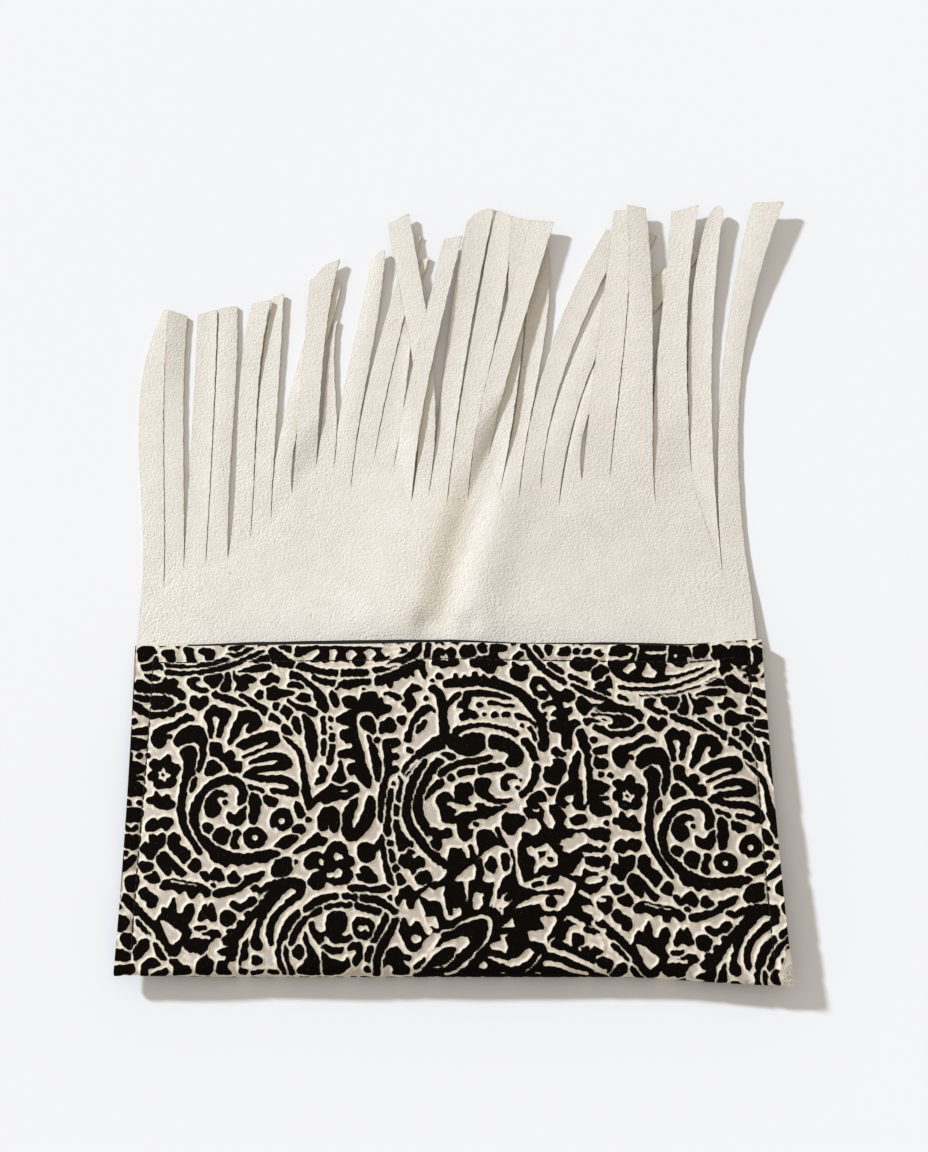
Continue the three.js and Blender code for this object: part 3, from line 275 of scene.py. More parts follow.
s 2.4 2.2 -36.4,-40.4 -31.4,-41.6 -27.4,-43
s 2.0 2.2 -25.6,-43.4 -25.6,-46.4 -28,-50.6 -30.4,-54.6
s 2.8 2.8 -60.4,-43 -64.4,-47.8 -66.8,-54 -67,-60 -65.4,-66
s 2.4 2.0 -52,-41.8 -57.4,-45.4 -60.8,-50 -62.8,-55
i -48.6,-45 -46.4,-42.6 -42.6,-42.4 -40.8,-45 -41.2,-49 -43.4,-52 -41,-52.4 -38.8,-51.6 -38.6,-53.4 -41.4,-54.6 -45.4,-54.8 -47.2,-53.4 -49.4,-51.4 -51,-55.6 -53.6,-53 -55.4,-49 -56,-46.6 -54.6,-45.8 -53.6,-49 -51,-51 -48.6,-49.6
i -38.2,-47 -36.6,-45.2 -33,-45.2 -30.6,-46.4 -29.8,-49 -31,-53.2 -34,-53 -37.2,-52.2 -38,-50
p -36.6,-49.6 -35.8,-48 -32.4,-48.2 -31.6,-50.4 -32.4,-50.8 -33,-49.6 -35.4,-50.2
s 2.6 2.8 -20.4,-44.4 -23.2,-49.6 -26.6,-56 -28.6,-61 -29,-67.4
i -19.4,-47 -17.6,-45 -16.6,-47 -15.2,-48.8 -13,-47.4 -12,-49.6 -10.4,-51.4 -10.6,-54.6 -13,-58 -16,-57 -18,-53.4 -19.6,-50
c 3.6 3.4 -13.1,-53.2 -12.9,-53.1
i -26,-64 -25.4,-60 -24,-57.6 -21,-56.4 -18.6,-58.8 -15.4,-60 -15.6,-61.4 -18.6,-60.8 -17.8,-63 -16,-64.4 -16.4,-67.4 -22,-67.4 -21.6,-64.6 -24,-62.8
i -19.6,-21 -17,-19 -15.6,-17.6 -14,-18.6 -15.4,-20 -14.4,-21.6 -12.4,-20.4 -9.8,-22.6 -10.6,-25 -13,-25 -14.4,-28 -16,-25.4 -18.4,-24.6 -19.8,-23
i -19.4,-33.4 -17,-32 -15.6,-33 -13.6,-34.6 -11,-33.4 -8.4,-32 -7,-33.6 -8,-35 -10.4,-37.4 -12,-36.4 -13.6,-38 -14.4,-41 -16.4,-40.4 -17,-37.4 -19,-37.6 -20.6,-40.6 -21.8,-38 -20,-35.4
d 1.3 -24.2,-15
s 2.4 2.4 -23.8,-18.6 -22.6,-22
d 1.4 -21.6,-25
s 2.6 2.6 -20,-28.6 -18.8,-31
i -13.6,-28.6 -11,-26.6 -8.4,-26.4 -7,-29 -9,-31 -12,-31.4
s 2.4 2.4 -65.4,-56 -65,-62 -62.4,-66.8
d 2.6 -59.6,-58.2
i -57.4,-50.4 -56,-54 -54,-57.4 -52.4,-60.4 -51.4,-64 -51.6,-67.6 -57,-67.6 -60.4,-66 -57.6,-63 -56.6,-60 -57.4,-56
i -50.4,-57.6 -48,-60.6 -45,-61.4 -42.4,-62.4 -40,-60.8 -38.8,-63 -41.4,-65.4 -44,-67.6 -50,-67.6 -50.2,-62
s 2.2 2.0 -50,-56.4 -46.6,-57.8 -43,-57.4
i -38.4,-55 -35.6,-54.8 -34.6,-58 -35.4,-62.4 -38,-63.6 -39,-61.6 -36.8,-59.6 -37.4,-57.4 -40.4,-57.8
s 2.4 2.4 -31,-56.4 -32,-61
d 1.4 -32,-65.4
i 4.4,65.4 5.6,69.4 9.4,70 11,67.6 11.4,65.6 8.6,64.6
d 2.2 13.8,68.2
i 16.6,69.6 20,70.4 23.8,69.4 23.6,67.8 20.4,66.8 20,65 22.4,62.8 24,61.4 21,60.6 19.4,60 18.8,57.8 15.6,57.6 12.6,60 9.6,60 8.6,62.6 10.4,64.4 13.6,65.2 16.6,66
i 25,57.6 26.4,60 26.4,62.4 29.6,60.4 32.4,61 32.6,58 31.6,55 29,54 26.4,55.2
s 2.2 2.2 27.6,64.6 31,66.8
s 3.4 4.4 -1,52.6 5,53 11,53.6 18,52.8 24.6,50.6 29.6,47.8 33.4,43.8 36.6,39 38.4,33 38.6,25.6
+s 2.2 1.6 2.6,53.6 2.4,56.2
+s 2.2 1.6 6.4,54 6.4,55.6
+s 2.2 1.6 10.4,54.4 10.4,57
+s 2.2 1.6 14.4,53.8 14.6,56.2
+s 2.2 1.6 18.4,53 18.6,55.2
+s 2.2 1.8 33.6,44 35.8,45
+s 2.2 1.8 37,39 39.2,39.8
+s 2.4 1.8 38.4,34 40.4,34.2
i 3,43 5.4,45 6.2,48.6 8.4,49.4 14,49.4 20,48.4 25.4,47.2 25,46 20,46.4 14,47.2 9.4,47 8.4,45.6 8,42.4 6,41 3.6,41.6
d 1.7 12.5,43.6
s 2.8 2.4 16.8,44 21.6,43.6 26,42.6
i 3.6,39.8 6,38.4 8,39.8 11,39.6 11.6,37.4 9.4,36.4 7,37 4.4,35.6 3.6,37.4
d 0.9 14.2,39.2
d 1.6 18.2,39
s 2.6 2.6 22.4,38.8 24.6,39.2
s 2.8 1.6 27.6,39 31.4,37.4 34,35.2 35.4,33
d 1.0 29.8,34.4
s 2.2 1.4 32.6,35 34.4,32 35.4,28.6
s 2.8 2.6 1.6,30.8 5,33.4 10,35 16,35 22,33.8 27,31
i -2.4,28 0.4,30 1.8,28.6 4,28.8 6.6,30 9.6,31 13,30.6 14.6,28 14,24.6 11,22 7.6,21.4 4,22.4 0.4,24.6
i 15.8,26.4 16.4,29.6 19,30.2 22,29.2 25.6,27.6 28.8,24.8 30.4,21.4 29.6,18.6 27.4,17 23.8,17.2 22.8,18.6 24.6,20.8 24,22.6 20.4,24 17.4,24.4
s 2.6 1.8 -3.4,13.6 0,16.4 5,18.2 11,19.2 16.6,20.6
s 2.4 2.2 4.4,13.8 9.6,14.8
s 3.2 2.8 12.8,15.2 17,16.2 21.4,16.6
s 3.0 2.4 31,27.6 33.6,24.4 35,20.4
s 3.0 2.2 35.6,16.6 34.8,12 32.4,7.6 28.8,4.6
i 20.4,11.4 22.4,13.2 26,13.8 28,12.6 27,11.2 24.6,11 22.8,9.6 24.6,7.6 23.6,6.4 21.4,7.2 20.4,9
d 0.8 28.8,11.3
d 0.9 27.8,7.8
i 2.4,5 3,8.6 4.6,10.2 7,9.6 8.6,9.4 9.4,6.4 9,3.4 6.4,2.4 3.4,3
i 10,10.6 12.4,12.2 16.4,12 16.8,10.2 16,7.6 17.6,6 20.4,4.4 25.6,4 26,2.4 21,1.8 16,2.8 12.4,4.6 10.6,7.6
i -6,0 -5.4,4 -2.4,6 1,6 2,4 3.4,2 7,1.4 12,1.8 14,0.4 11,-0.6 7.4,-2 4,-3.6 1,-5.4 -2.4,-5.4 -4.6,-3
i 33.6,52 34.6,55 37,55.8 40,54.2 42.4,51 45.6,49 47.6,50 49.4,50.4 51.6,49.4 51.6,46.6 49.4,44.8 46.6,45 47,41.4 50,42.4 50.6,40.4 48.6,38.6 49,36 51.4,36.8 54,35.6 53.4,33 51.4,32 50,29.4 50.2,26 48.8,24 46,23.6 46.4,29 45.4,31.6 41.6,32 40.6,34.6 42.4,36.6 44.6,36.6 44,38.6 42,39.2 43,40.6 44.6,40.8 44,43 41,43.6 39.4,42.6 39,40.6 37.6,42 40,44.6 43,45.4 42,48 39.4,51.4 37.4,52.8 35.8,51.4 36.8,49 38.6,49.4 40.4,48.6 40.2,46.4 37.4,46.2 34.8,48.4
p 41,29.6 45.6,29.8 45.4,27.4 43.6,26.4 41.6,27
i 42,22.6 43.2,25 45.6,24.6 48.2,23 45.4,21.2
i 38.8,13 39.4,16.6 41.6,16.4 43,18.4 42.8,19.6 45.4,20 47.4,18 47.2,14.6 46,13.2 44.4,9.8 41.6,9.8 39.4,11
i 31.4,1.4 33,4.6 36,6.4 38.8,5.8 39.4,3 38,0 33,-0.6
i 38.6,7 41,7.8 43,7.6 42.4,5.4 40.6,4.4
i 44.2,0 44,5 46,9 49,11 48.8,14.4 50,18 51.4,21.4 53.2,23.6 54.6,21 53,17 52.4,12 54,10.8 54,6 53.6,-1 49,-2.4
p 47,3.4 48.4,5 50.4,4.6 51.4,6.4 50.2,2.6 48.2,1.8
s 3.6 3.2 53.6,32 55.4,27 57.2,20 58,12 58,4 57.4,0
i 45.4,66 46.6,68.6 49.4,69.2 50.6,67.4 48.6,65.4
d 1.3 53.2,67.2
s 2 2 56.6,67 58.4,67.8
i 50.4,61 51.4,63.4 53.4,65 56,63.8 58.4,64.4 61.4,64 61,61 58,59 54.4,58.6 52,59.4
s 2.8 2.4 31,69.4 34.6,65 37.6,60.8 42,57.2 47.6,53.8
s 2.0 2.0 36,69 38.4,65.4
i 40,69.6 43,69.4 42,66 40.4,65.6
s 2.4 2.4 42,61.2 46.4,57.8
s 2.4 2.2 50,55.8 56,53
s 2.8 2.4 52,52 57,49 62,46.8
i 53,46.4 55,47 57,45 61,44.6 62,42 58,41.4 56,39 53.4,40.6 52.6,43.6
i 55.4,37 57.6,38 61.6,38 62,35 58,34.4 55.8,35
p -8,1.6 -5.6,0.4 -4.6,-3 -3.4,-5.6 0,-6.4 2.6,-5.4 3,-8.6 1.4,-9.6 -0.6,-8.6 -3,-8 -5.4,-6.6 -6.8,-3 -8,-1
p 1,-9 3,-9.8 3.2,-12 4.6,-13.6 7,-12.6 9.2,-12 9.8,-9.6 10.6,-12 10,-14 10.4,-17.6 9.6,-19.4 8.4,-16 7.4,-18 6.4,-17.4 5,-15.4 2,-15 0.4,-16.6 -0.4,-19 -1,-22 -3.4,-20 -2.8,-15.6 -1.2,-13.4 0.6,-12
p 2.4,1.8 3.4,0.2 1.4,-2 3.6,-3.4 7,-2.4 11,-0.4 12,1.8 8,2 5,1.6
p 9.6,-4 11.4,-5 14.6,-4.4 18,-2.6 20.4,-0.8 19.8,-3.4 20.8,-6 22.4,-9 20,-8.4 16.6,-7.4 13,-7.6 10,-9.4 8.4,-8 8.6,-5.4
e 1.2 10.8,-7.4
p 30,-7.4 32,-6 33.4,-4.2 35.8,-5.4 37,-8.6 36.2,-10.6 33.6,-11.8 31.4,-10.4 29.6,-10.6 29,-8.4
p 22.4,-9.6 23.6,-11.8 26,-11.6 28.4,-9.8 30,-10.6 28,-14 27.6,-19 28,-24 29,-27.4 30,-31 28,-31.6 27,-27 26.8,-21 25.6,-17.4 24,-16.8 24.6,-14 23,-12
p 18.4,-10 20,-10 20,-14 19,-12.6
p 13,-20 15.4,-17.4 19,-16.2 22,-16.4 24.6,-18.4 25.8,-23 24.6,-27.4 22.4,-28 21.2,-30 20,-33 18.4,-36 17,-40.4 18,-41 18.6,-37.6 19.6,-33 18,-30.4 15.4,-31 13.6,-30 14.6,-26.6 13.6,-23.4
j 15,-22 17,-20.2 19.2,-22 19.4,-25 18,-27.2 15.6,-26.4 14.4,-24
j 20.8,-19.4 22.6,-18.4 24.4,-20.4 24.4,-24.2 23,-26.6 21.6,-25.6 20.8,-22
p 2,-30 5,-27 8.4,-24.2 10,-23.4 11,-26 10.4,-29.4 7,-30.6 4,-30.6
p 10,-35.4 12,-34.8 14,-35.4 13.4,-39.6 12.4,-41.6 9.8,-41.8 9.6,-38
p -9,-44.6 -5.6,-44.2 -4,-47.6 -3.4,-49.6 -6,-48.6 -9,-48
p 15.6,-59.8 19,-60.6 23,-61.6 28,-60.4 30.4,-57.6 32.4,-56.8 34,-58.4 31.4,-61.6 28,-63.6 24.6,-64.2 20,-62.4 16,-60.8
p 12.2,-63 14,-62 15.4,-63.4 14.8,-65 12,-64.4
c 0.8 0.6 36.6,-59.4 34,-63 30.4,-66
c 1.0 0.9 42,-52.6 40,-55 39.8,-58
c 2.0 1.8 40.6,-57.4 45,-58.6 50,-60.6 55,-63 62,-66
c 2.0 1.6 38.4,-62.6 43,-63.2 49,-65.4 55,-67.4
p 27.4,-31.4 31,-31 33,-30 38,-28 42,-27.6 46.6,-28.8 51.2,-31 50,-35 47.6,-39 44.6,-42 40,-42.4 37,-41.6 36.4,-39.4 33,-39.6 28,-41 25.2,-42.2 28,-39.6 33.6,-36.6 38,-35.6 41,-36 46,-36 47,-34.6 45,-33.4 40,-33.6 35.4,-34.4 31.6,-33.2
j 33,-31.6 36,-30.4 37.6,-31.4 35.6,-33 33.4,-33
j 39,-30.4 42,-29.6 44.6,-29.8 42.4,-31.2 39.4,-31.8
e 2.4 40.8,-38.7
p 48,-27.4 50.4,-26.6 52,-23.6 54.4,-20.4 54.8,-23.4 53.6,-27 52.6,-28.8 50,-28
p 31.4,-17 33,-15.8 34.4,-17.4 37,-16.4 39.6,-15 41.4,-17 44,-20.6 43.4,-24 40.6,-25 38.6,-23.6 36,-25.4 34.4,-28 33.8,-25 35,-22.4 33.6,-20.4 31.6,-19
e 1.2 40.8,-21.4
j 35.4,-18.4 38,-18.6 39.4,-17.6 38.8,-20.4 37,-21 36.4,-23 36,-20.6
p 40.8,-15 44,-16 45.6,-13.4 49,-13 51,-11 54,-10.4 56.4,-12 55.6,-15 52.4,-16.6 48.6,-19 45.6,-18.4 46,-16
p 36,2 38.8,-1 38,-5.6 39.6,-8.4 42,-9.4 43,-7 41,-3 40,2
p 44,1 47,-1 49.4,2 50.8,-1 54,-1.6 57,-3 58,-6 55.4,-8.6 51,-9.4 47.6,-8.6 46.4,-6.6 48,-4.4 46,-1.4
j 48.6,-5 50,-3.6 53,-2.8 56,-3.6 56.2,-6 53,-7.6 49.6,-7.4
p 55,-1.4 57.6,2 60,2 58.6,-2 60,-5 62,-6 62,-8 59,-7.6 57,-9.6 55.6,-8
p 56.4,-12.4 59,-14 62,-13.8 62,-15.6 58.4,-16 56,-14.8
p 53,-18.4 56,-19 60,-18.4 62,-19.4 62,-20.6 58,-20 54.6,-20.6
c 1.8 1.6 54,-24 58,-25.6 62,-25
p 55,-29 58,-28 62,-29.6 61,-31 56.4,-31.4 54,-30.4
c 1.6 1.6 52.6,-34.6 57,-36.6 62,-38
p 52.6,-40.4 56,-39.6 60,-41.6 62,-43 62,-45 59.4,-46.4 57,-43.8 54,-42.4
c 1.6 1.6 47.6,-44.6 52,-47 57,-48.8 62,-50
p 47.2,-55 48,-50.4 50.4,-49.4 49.2,-53.4 51,-56 48.6,-56.4
p 52,-50.4 56,-51 60,-53 62,-55 61.6,-57.6 57.6,-56 55.6,-58.6 54.6,-60 53.4,-56 51.4,-54
g -1,-23 -0.4,-19 0.4,-16.6 -1.2,-13.4 0.6,-11 3,-8.6 8.4,-8 13,-7.4 20,-8.2 22.4,-9.2 25.6,-11 28.4,-9.4 31,-5 36,-3 38,1 44,1 50,1 57,1 58.6,-3 57.4,-7 59,-10 56.8,-13 58.6,-17 57,-21.4 58.6,-25 57,-29 58.8,-33 56.6,-37 58.4,-42 56.8,-46 58.6,-51 57,-55 58.8,-60 57.6,-64 58.6,-70 -9,-70 -11,-65 -8,-59 -6.4,-57 -3,-52.6 -6,-50.4 -8.6,-48 -9.8,-43 -11.6,-38 -8.6,-33.6 -9,-31 -4,-30.4 -0.8,-27
i -8,-8.6 -5.4,-9 -3,-11.4 -3.4,-14.6 -3,-16.4 -5,-17.8 -7.4,-17 -8,-14
i 20.4,-3.4 21.4,-1 24,-0.6 27.6,-0.2 30,-1.6 31.4,-4 30.4,-6.4 28,-9 25.6,-10.2 23,-8.6 21.4,-6
i -67,-30 -62.6,-29.2 -58.8,-30.6 -57.4,-33.4 -58.2,-37 -61,-40.4 -64.4,-43 -68,-40 -70,-36.6
p -64.4,-36.2 -62.2,-34.6 -61.2,-35 -62.2,-36 -63.8,-37
i 66.8,66 69,69.6 73,70.4 77,69 79.4,69.6 80,66 78.4,63.4 76,65.4 73.4,63.6 70,64.4
i 78.4,63.8 79.4,70.4 84,71 90.4,70.4 90.6,66 89,63.4 86,64.6 83,63.6
p 81.8,67.4 86,68 91.6,68.2 91.4,67 86,66.6 82,66.4
i 91,66 92,70 97,70.4 101,69 101.6,65 99.6,62 97,60.8 95.4,63 93,61.4 91.4,63.4
c 1.6 1.6 94.5,66 94.6,66.1
i 101,66.4 103.4,70.6 108,71.4 109.4,68.6 106.6,66 103.4,64.8
i 118,64 119.4,69.6 124,71.4 127,68.6 126.4,64.4 122.4,62.6
i 128,69.6 131.6,69.6 131.6,65 129.4,63.6 127.6,66
i 112.6,58.4 114,62 117.6,63 118.4,60 115.4,57.6
i 60,66.4 62.4,68.2 65,67.6 64,66 61.6,65
i 109.8,66.4 110.8,70.4 114,71.4 117,69 116.6,65.4 113.6,64
i 66.4,62.6 68.6,59 71.4,57.2 73.4,58.4 72.4,61 70,62.8
i 120,61 123.6,61.2 126.6,62.6 129.6,61.4 131,57.6 127.6,57 124.6,58.8 121,58.2
g 66.4,62.4 68.6,59 71.6,56.8 76,55.4 84,54.8 92,55.2 99,57.4 103,58.8 104,60.4 100.6,61.6 101.6,65 101,69 97,70.4 92,70 90.4,70.4 84,71 79.4,70.4 77,69 73,70.4 69,69.6 66.8,66
p 72,58.8 74.4,61.4 77.4,62.8 78.2,60.2 75.6,58.8 74.4,57.2
p 80,57.6 81.6,60 82.4,63 83.8,60.4 86.8,58.2 85.6,56.6 83,56 81,56.4
p 89.6,57.2 91,61.6 93.4,61.8 95.4,59.6 93,57.6
c 0.9 0.9 77.8,64 79,67.6 78.6,71
c 0.9 0.9 90.8,62.6 91,66 91.6,71
c 0.9 0.9 68.4,57.6 72,55.4 78,54.4 86,53.9 92,54.4 98,56.2 104,58.6
p 131.8,-72 131.4,-67 133.2,-62 134.8,-57 139,-56.6 139,-72
j -132.8,20.8 -127.4,20.6 -126.6,18 -127.4,15.4 -129.6,14.8 -129.6,12.6 -127,11.8 -126.4,9 -127.4,7.2 -132.6,7.4 -133,14
i -72.8,44.4 -71,44.6 -70,42.8 -71.4,41.4 -73,42.4
i -70.2,40.4 -68.6,43.4 -66,43.6 -64.4,41.4 -65.2,38.6 -67,37.2 -68.2,39.2
j -1.8,43 0.2,46.4 3,48.8 5,48.7 4.4,46.8 1.8,44.4 -0.4,41.6 -1.2,38.4
j -4,35 -1.4,34 -0.8,30.8 1,31 1.4,33 4,33.6 5,31.8 3.4,29.8 6,29.2 4.4,25.6 1,23.6 -1,25.4 -2.8,28.4 -4,31
p 65.6,63.6 69,64 73,63.6 75.4,64.6 77,66.6 75.4,67.4 74.4,65.6 71,64.8 68,65.4 66,65.2
p 63,69 66,69.4 66.4,67 64.6,66.6 63.4,67.6
p 90.4,57.6 91,63.4 93,62.4 95.2,60.8 98.4,61 99.8,63 99.8,65.4 103,64.8 105.6,65.6 107,62.8 111,63.4 113,65.8 113.4,63 110,60.6 106.6,60 105,61.4 100,59.4 95,57.8
p 67,57.6 68.4,48.8 76,48.4 84,48.6 92,49.6 100,51.8 108,55.6 113,58.4 112.4,62 104,60.4 96,57.2 90,55.6 84,54.6 76,55 71,57
j 66.2,61.8 67.8,58 71,54.8 76,53.7 84,53.5 91,54.5 92,56.4 89,57.4 86.6,56.2 83,55.6 80,56.6 77,55.6 73.4,56.6 71,59 69,61.8
j 93.8,56.6 97,58 102,59.8 106,61.8 106.2,60.6 101.6,58.4 97,56.6 94.4,55.8
j 70,52.5 76,51.9 84,52 92,53.2 100,55.8 107,59.4 111,61.6 111.4,60 106,57 99,53.4 92,51 84,50 76,49.9 70.4,50.6
j 113.4,64.6 116,68 119,71 124,71.4 126.2,68.6 125.4,66 127.2,64.6 126,62.4 123,62.8 121.4,60.6 119.4,62.6 117.2,63 115.6,60.4 113.6,61.8
j 127,70.6 130.6,71 131.4,66 129.6,62.6 127.6,60.4 126,57.6 124.4,58.4 125.6,61.4 127.8,63.6 128.2,66.6
p 60,38.6 65,38.8 67.6,37.4 67,35.6 65,35.4 64.2,36.6 65.6,37 64,37.7 60,37.3
p -103.6,-53.2 -102.4,-50.4 -105,-48.8 -101,-50.8 -98,-51.8 -95.2,-51.4 -95.6,-53.2 -98.6,-52.8 -101,-52.4
p -106.2,-55.6 -104.6,-57.4 -103,-58.8 -100.4,-58.2 -99.2,-59.4 -100.6,-62.6 -103,-61.6 -105.6,-60.4 -107.8,-59.4 -106.6,-57.8
p -96.2,-57 -95,-54.2 -92.4,-52.6 -90.6,-53.4 -89.8,-55.4 -86.8,-55.8 -90.4,-56.8 -92.2,-57.6 -91.8,-59.2 -88.4,-60.2 -89.6,-61.6 -93,-61.6 -95.8,-60.2
j 10.8,43.2 11.6,44.6 13.2,44.7 14.2,43.6 13.5,42.2 11.8,42
j 15.6,44.2 16.4,45.2 18.2,45.1 20.5,44.5 23,44.1 25.8,44 27.2,43.2 26.8,42.2 25,42 22,42.6 19.4,42.9 17,42.6 15.9,43.2
e 1.0 14.3,39.1
j 16.6,38.4 17.4,39.8 19.2,40.5 20.4,39.8 20.2,38.2 18.8,37.4 17.2,37.4
j 21.4,38.9 22,40.4 23.8,40.8 25.3,39.9 25.2,38.4 23.8,37.7 22.2,37.8
j 26.6,39.4 28,40.1 30,39.7 32,38.6 34,37 35.6,35.4 36,33.4 34.6,34.2 33,35.4 31,36.6 28.6,36.8 27,37.8
e 1.1 30,34.5
j 3.6,37.8 4.2,39.6 5.6,40.2 5.4,41.6 4,42.4 3,43 3.4,44.8 5.2,45.4 6.4,46.6 8.4,46 8.4,43.6 7.6,42.2 8,41 9.4,41 11.2,40.2 12.3,38.6 11.6,37.2 10,36.8 8.4,37.5 7.4,36.6 5.8,36 4.2,36.4
p 8.7,43.4 10.4,45.6 14.3,46.4 20,46.2 25.7,45 30,42.8 32.9,40 35.9,36.4 33.5,34.5 31,33 28,32.2 23.6,33.9 18.6,35.1 13.6,35.5 7.9,35.3 4.3,34 2,35 2.2,39 3,42 5.6,41.8 7.6,42
p 59.2,50.8 67.4,49.6 69,49.4 76,49 78.4,48.6 78.6,44 77.6,42.6 76,43.4 72,43.4 68,43.8 59.2,44
j 59.4,51 62,51 65,50 67.2,48.6 67.4,47.6 66,47.4 63,48.8 60.5,49.6
j 58.4,50 60.4,49 63,48 66.5,46.4 68.6,45 70,44.4 73,43.6 75.8,43.2 77,42 76.4,40.6 74.6,40.4 72.4,41 69,42.2 64,42.6 59.6,42.8 59.2,44.2 62,44.2 64.4,44.7 62.4,45.7 59.4,46.2
j 69.2,47.6 70,48.4 71.8,48.2 73.6,47.2 74.8,45.8 74,44.9 72.6,45.4 71,46 69.6,46.4
c 1.6 0.7 -9,-56.4 -5,-52.2 -2,-50 1,-49.4
c 0.7 1.6 1,-49.4 6,-46.6 10,-45 13.5,-44.4 16,-45.6 16.6,-48
c 1.5 0.7 16.6,-48 15.8,-52 14,-55.4 11.6,-57.6
c 0.8 1.6 11.6,-57.6 9,-60.4 6,-63.6 3,-66 -1,-67.4
p -9,-56 -7,-57 -4,-56.4 -2.5,-55.25 1,-53.5 6,-52 7.5,-53 8,-55 6,-57 3.5,-59 1,-62.5 -1.5,-64 -3,-64.4 -6,-64.6 -8.25,-66.2 -6,-64 -3,-63.7 0,-62.2 2,-60 3,-57.5 2.5,-56.25 -1,-56.5 -5,-58.5 -7,-60.5 -9,-63 -12.5,-66.4 -13,-65.8 -10,-62 -8.6,-60 -9.4,-58.4
j -14,-63.6 -12,-62 -10,-60.4 -9.2,-60.2 -9,-61.4 -10.4,-63.4 -12.4,-65 -14,-65.6
j -14,-70 -14,-66.8 -12.6,-67 -9,-64.6 -6,-65.4 -4,-66 -3.4,-68 -6,-69.6
j -10.6,-54.4 -9,-53 -6.4,-51.4 -4,-50 -3.2,-49.2 -5,-49.4 -6.6,-50.4 -7.6,-51.6 -9,-51 -10.6,-48.6 -11.8,-46.6 -13.4,-46 -14,-46.4 -14,-51 -12.4,-51.6 -11,-53
p -11.5,-36 -8,-32.75 -6,-34.25 -1.5,-31.75 -2,-36 -0.75,-42.5 0,-44 1.5,-44 1.75,-41.25 3.3,-41.25 4.25,-40.5 5.1,-42.5 4.5,-44 1,-45.75 -1,-46 -2.25,-42.5 -3.25,-39 -5.5,-37.75 -8,-38.25
p 5.6,-30.6 7.8,-30.4 7.5,-34 7.2,-40.2 6.7,-38 6.2,-34
p 18.6,-29.6 20.4,-30 19.4,-34 18.7,-37.4 20.4,-37.4 21.6,-36.2 23.2,-34.6 23.4,-35 21.7,-37.8 22,-38.8 25.4,-37.9 25.6,-38.3 21.9,-41.2 21.4,-44.2 21,-44.2 20.6,-42.6 18.4,-41 18.2,-39.2 17.2,-39.2 16.2,-40.8 15.7,-40.6 16.8,-37.6 17.8,-34 17.8,-31
e 0.5 20.5,-40.9
p 20.2,-49.1 23,-46.9 25.4,-44.9 26.1,-48.4
p 19.9,-51.7 23.6,-51.3 22.4,-52.6 22.6,-54 23.2,-56 22.7,-58.7 19.6,-57.6 17.2,-57 16.7,-55.4 18,-54.4 20.4,-54.2 21,-53
j 33.4,-32 34.6,-30.8 36.6,-30 38,-30.4 37.6,-31.8 35.6,-33 34,-33
j 39.4,-29.8 40.6,-28.2 43,-27.6 44.4,-28.2 43.6,-29.8 41,-30.6
j 46.3,-28.4 48,-27.8 51,-28 52.4,-28.6 51,-29.2 48,-29.4
p 36,-44.2 43,-44.5 43.1,-46.4 41.2,-49.4 39.4,-52 38.8,-53.4 39.3,-55.2 41.6,-57.6 41,-58.4 39.2,-58.4 38.9,-56.4 37.6,-55 34,-54 32,-53.7 31.4,-50.3 35,-50 37.4,-49.4 37.9,-48 37.2,-46.2
c 0.6 0.5 47,-44.2 46.4,-45.9
p 47.2,-50.4 48,-48.6 50,-47.8 52,-48 53.4,-47.4 54.2,-47.8 53.4,-49.4 54.4,-50.6 57,-51.4 60,-52 60,-53.4 58,-53 55.6,-53.4 54.6,-55 52.6,-56.4 52.8,-57.8 51.6,-57.8 51.2,-56.4 53,-54.6 54,-52.6 52.4,-51.2 49.4,-50.6 48.7,-52 48.6,-55.3 47.8,-55.2 45.2,-54.2 46.8,-52.8
j 53.8,-48.8 54.6,-47.8 57,-48.6 60,-50 60,-51.2 57,-50.8 54.6,-50.2
j 49,-51 50.6,-50.8 53,-51.2 54.4,-52.4 54,-54.6 52.2,-56 50.4,-56.4 49,-56 48.9,-53
j 53,-57.6 54,-56 55.4,-55.6 56,-57 55.4,-59.6 54,-60.2 53.4,-59 51.8,-58.4
p 20,-67 21.5,-66.2 22.6,-66.6 21.8,-67.2
p 33.3,-66.3 35,-66.3 37.6,-67.2 34.4,-67.2
p -9.6,2.2 -7.4,4.4 -5.4,6.6 -2.6,7.6 0,8.6 1.4,10 4,11.2 8.6,11.2 10,12.4 14,13.2 18,12.6 19.4,12 20.6,13.8 28.4,14 29.8,12.4 31.2,10.4 30.4,7.6 28,5.4 28.6,3 30.8,2.6 31.2,1 29.6,0.4 29.6,-1.8 31.9,-4.9 31.4,-7.4 29.4,-9.2 29.4,-12.4 28.4,-15 25.4,-16.6 23.8,-17.6 20.5,-16.8 18,-16.8 15,-18.6 12,-21 10.8,-22.4 9.2,-20.6 8.2,-21.4 7,-21.4 6.6,-19 5,-17 0,-17 -0.6,-20 -0.2,-23.2 -3,-18.6 -2.4,-14 1.6,-13 2,-9 -1.5,-8.2 -6.4,-8.4 -8.1,-5.4 -9.3,-1.3
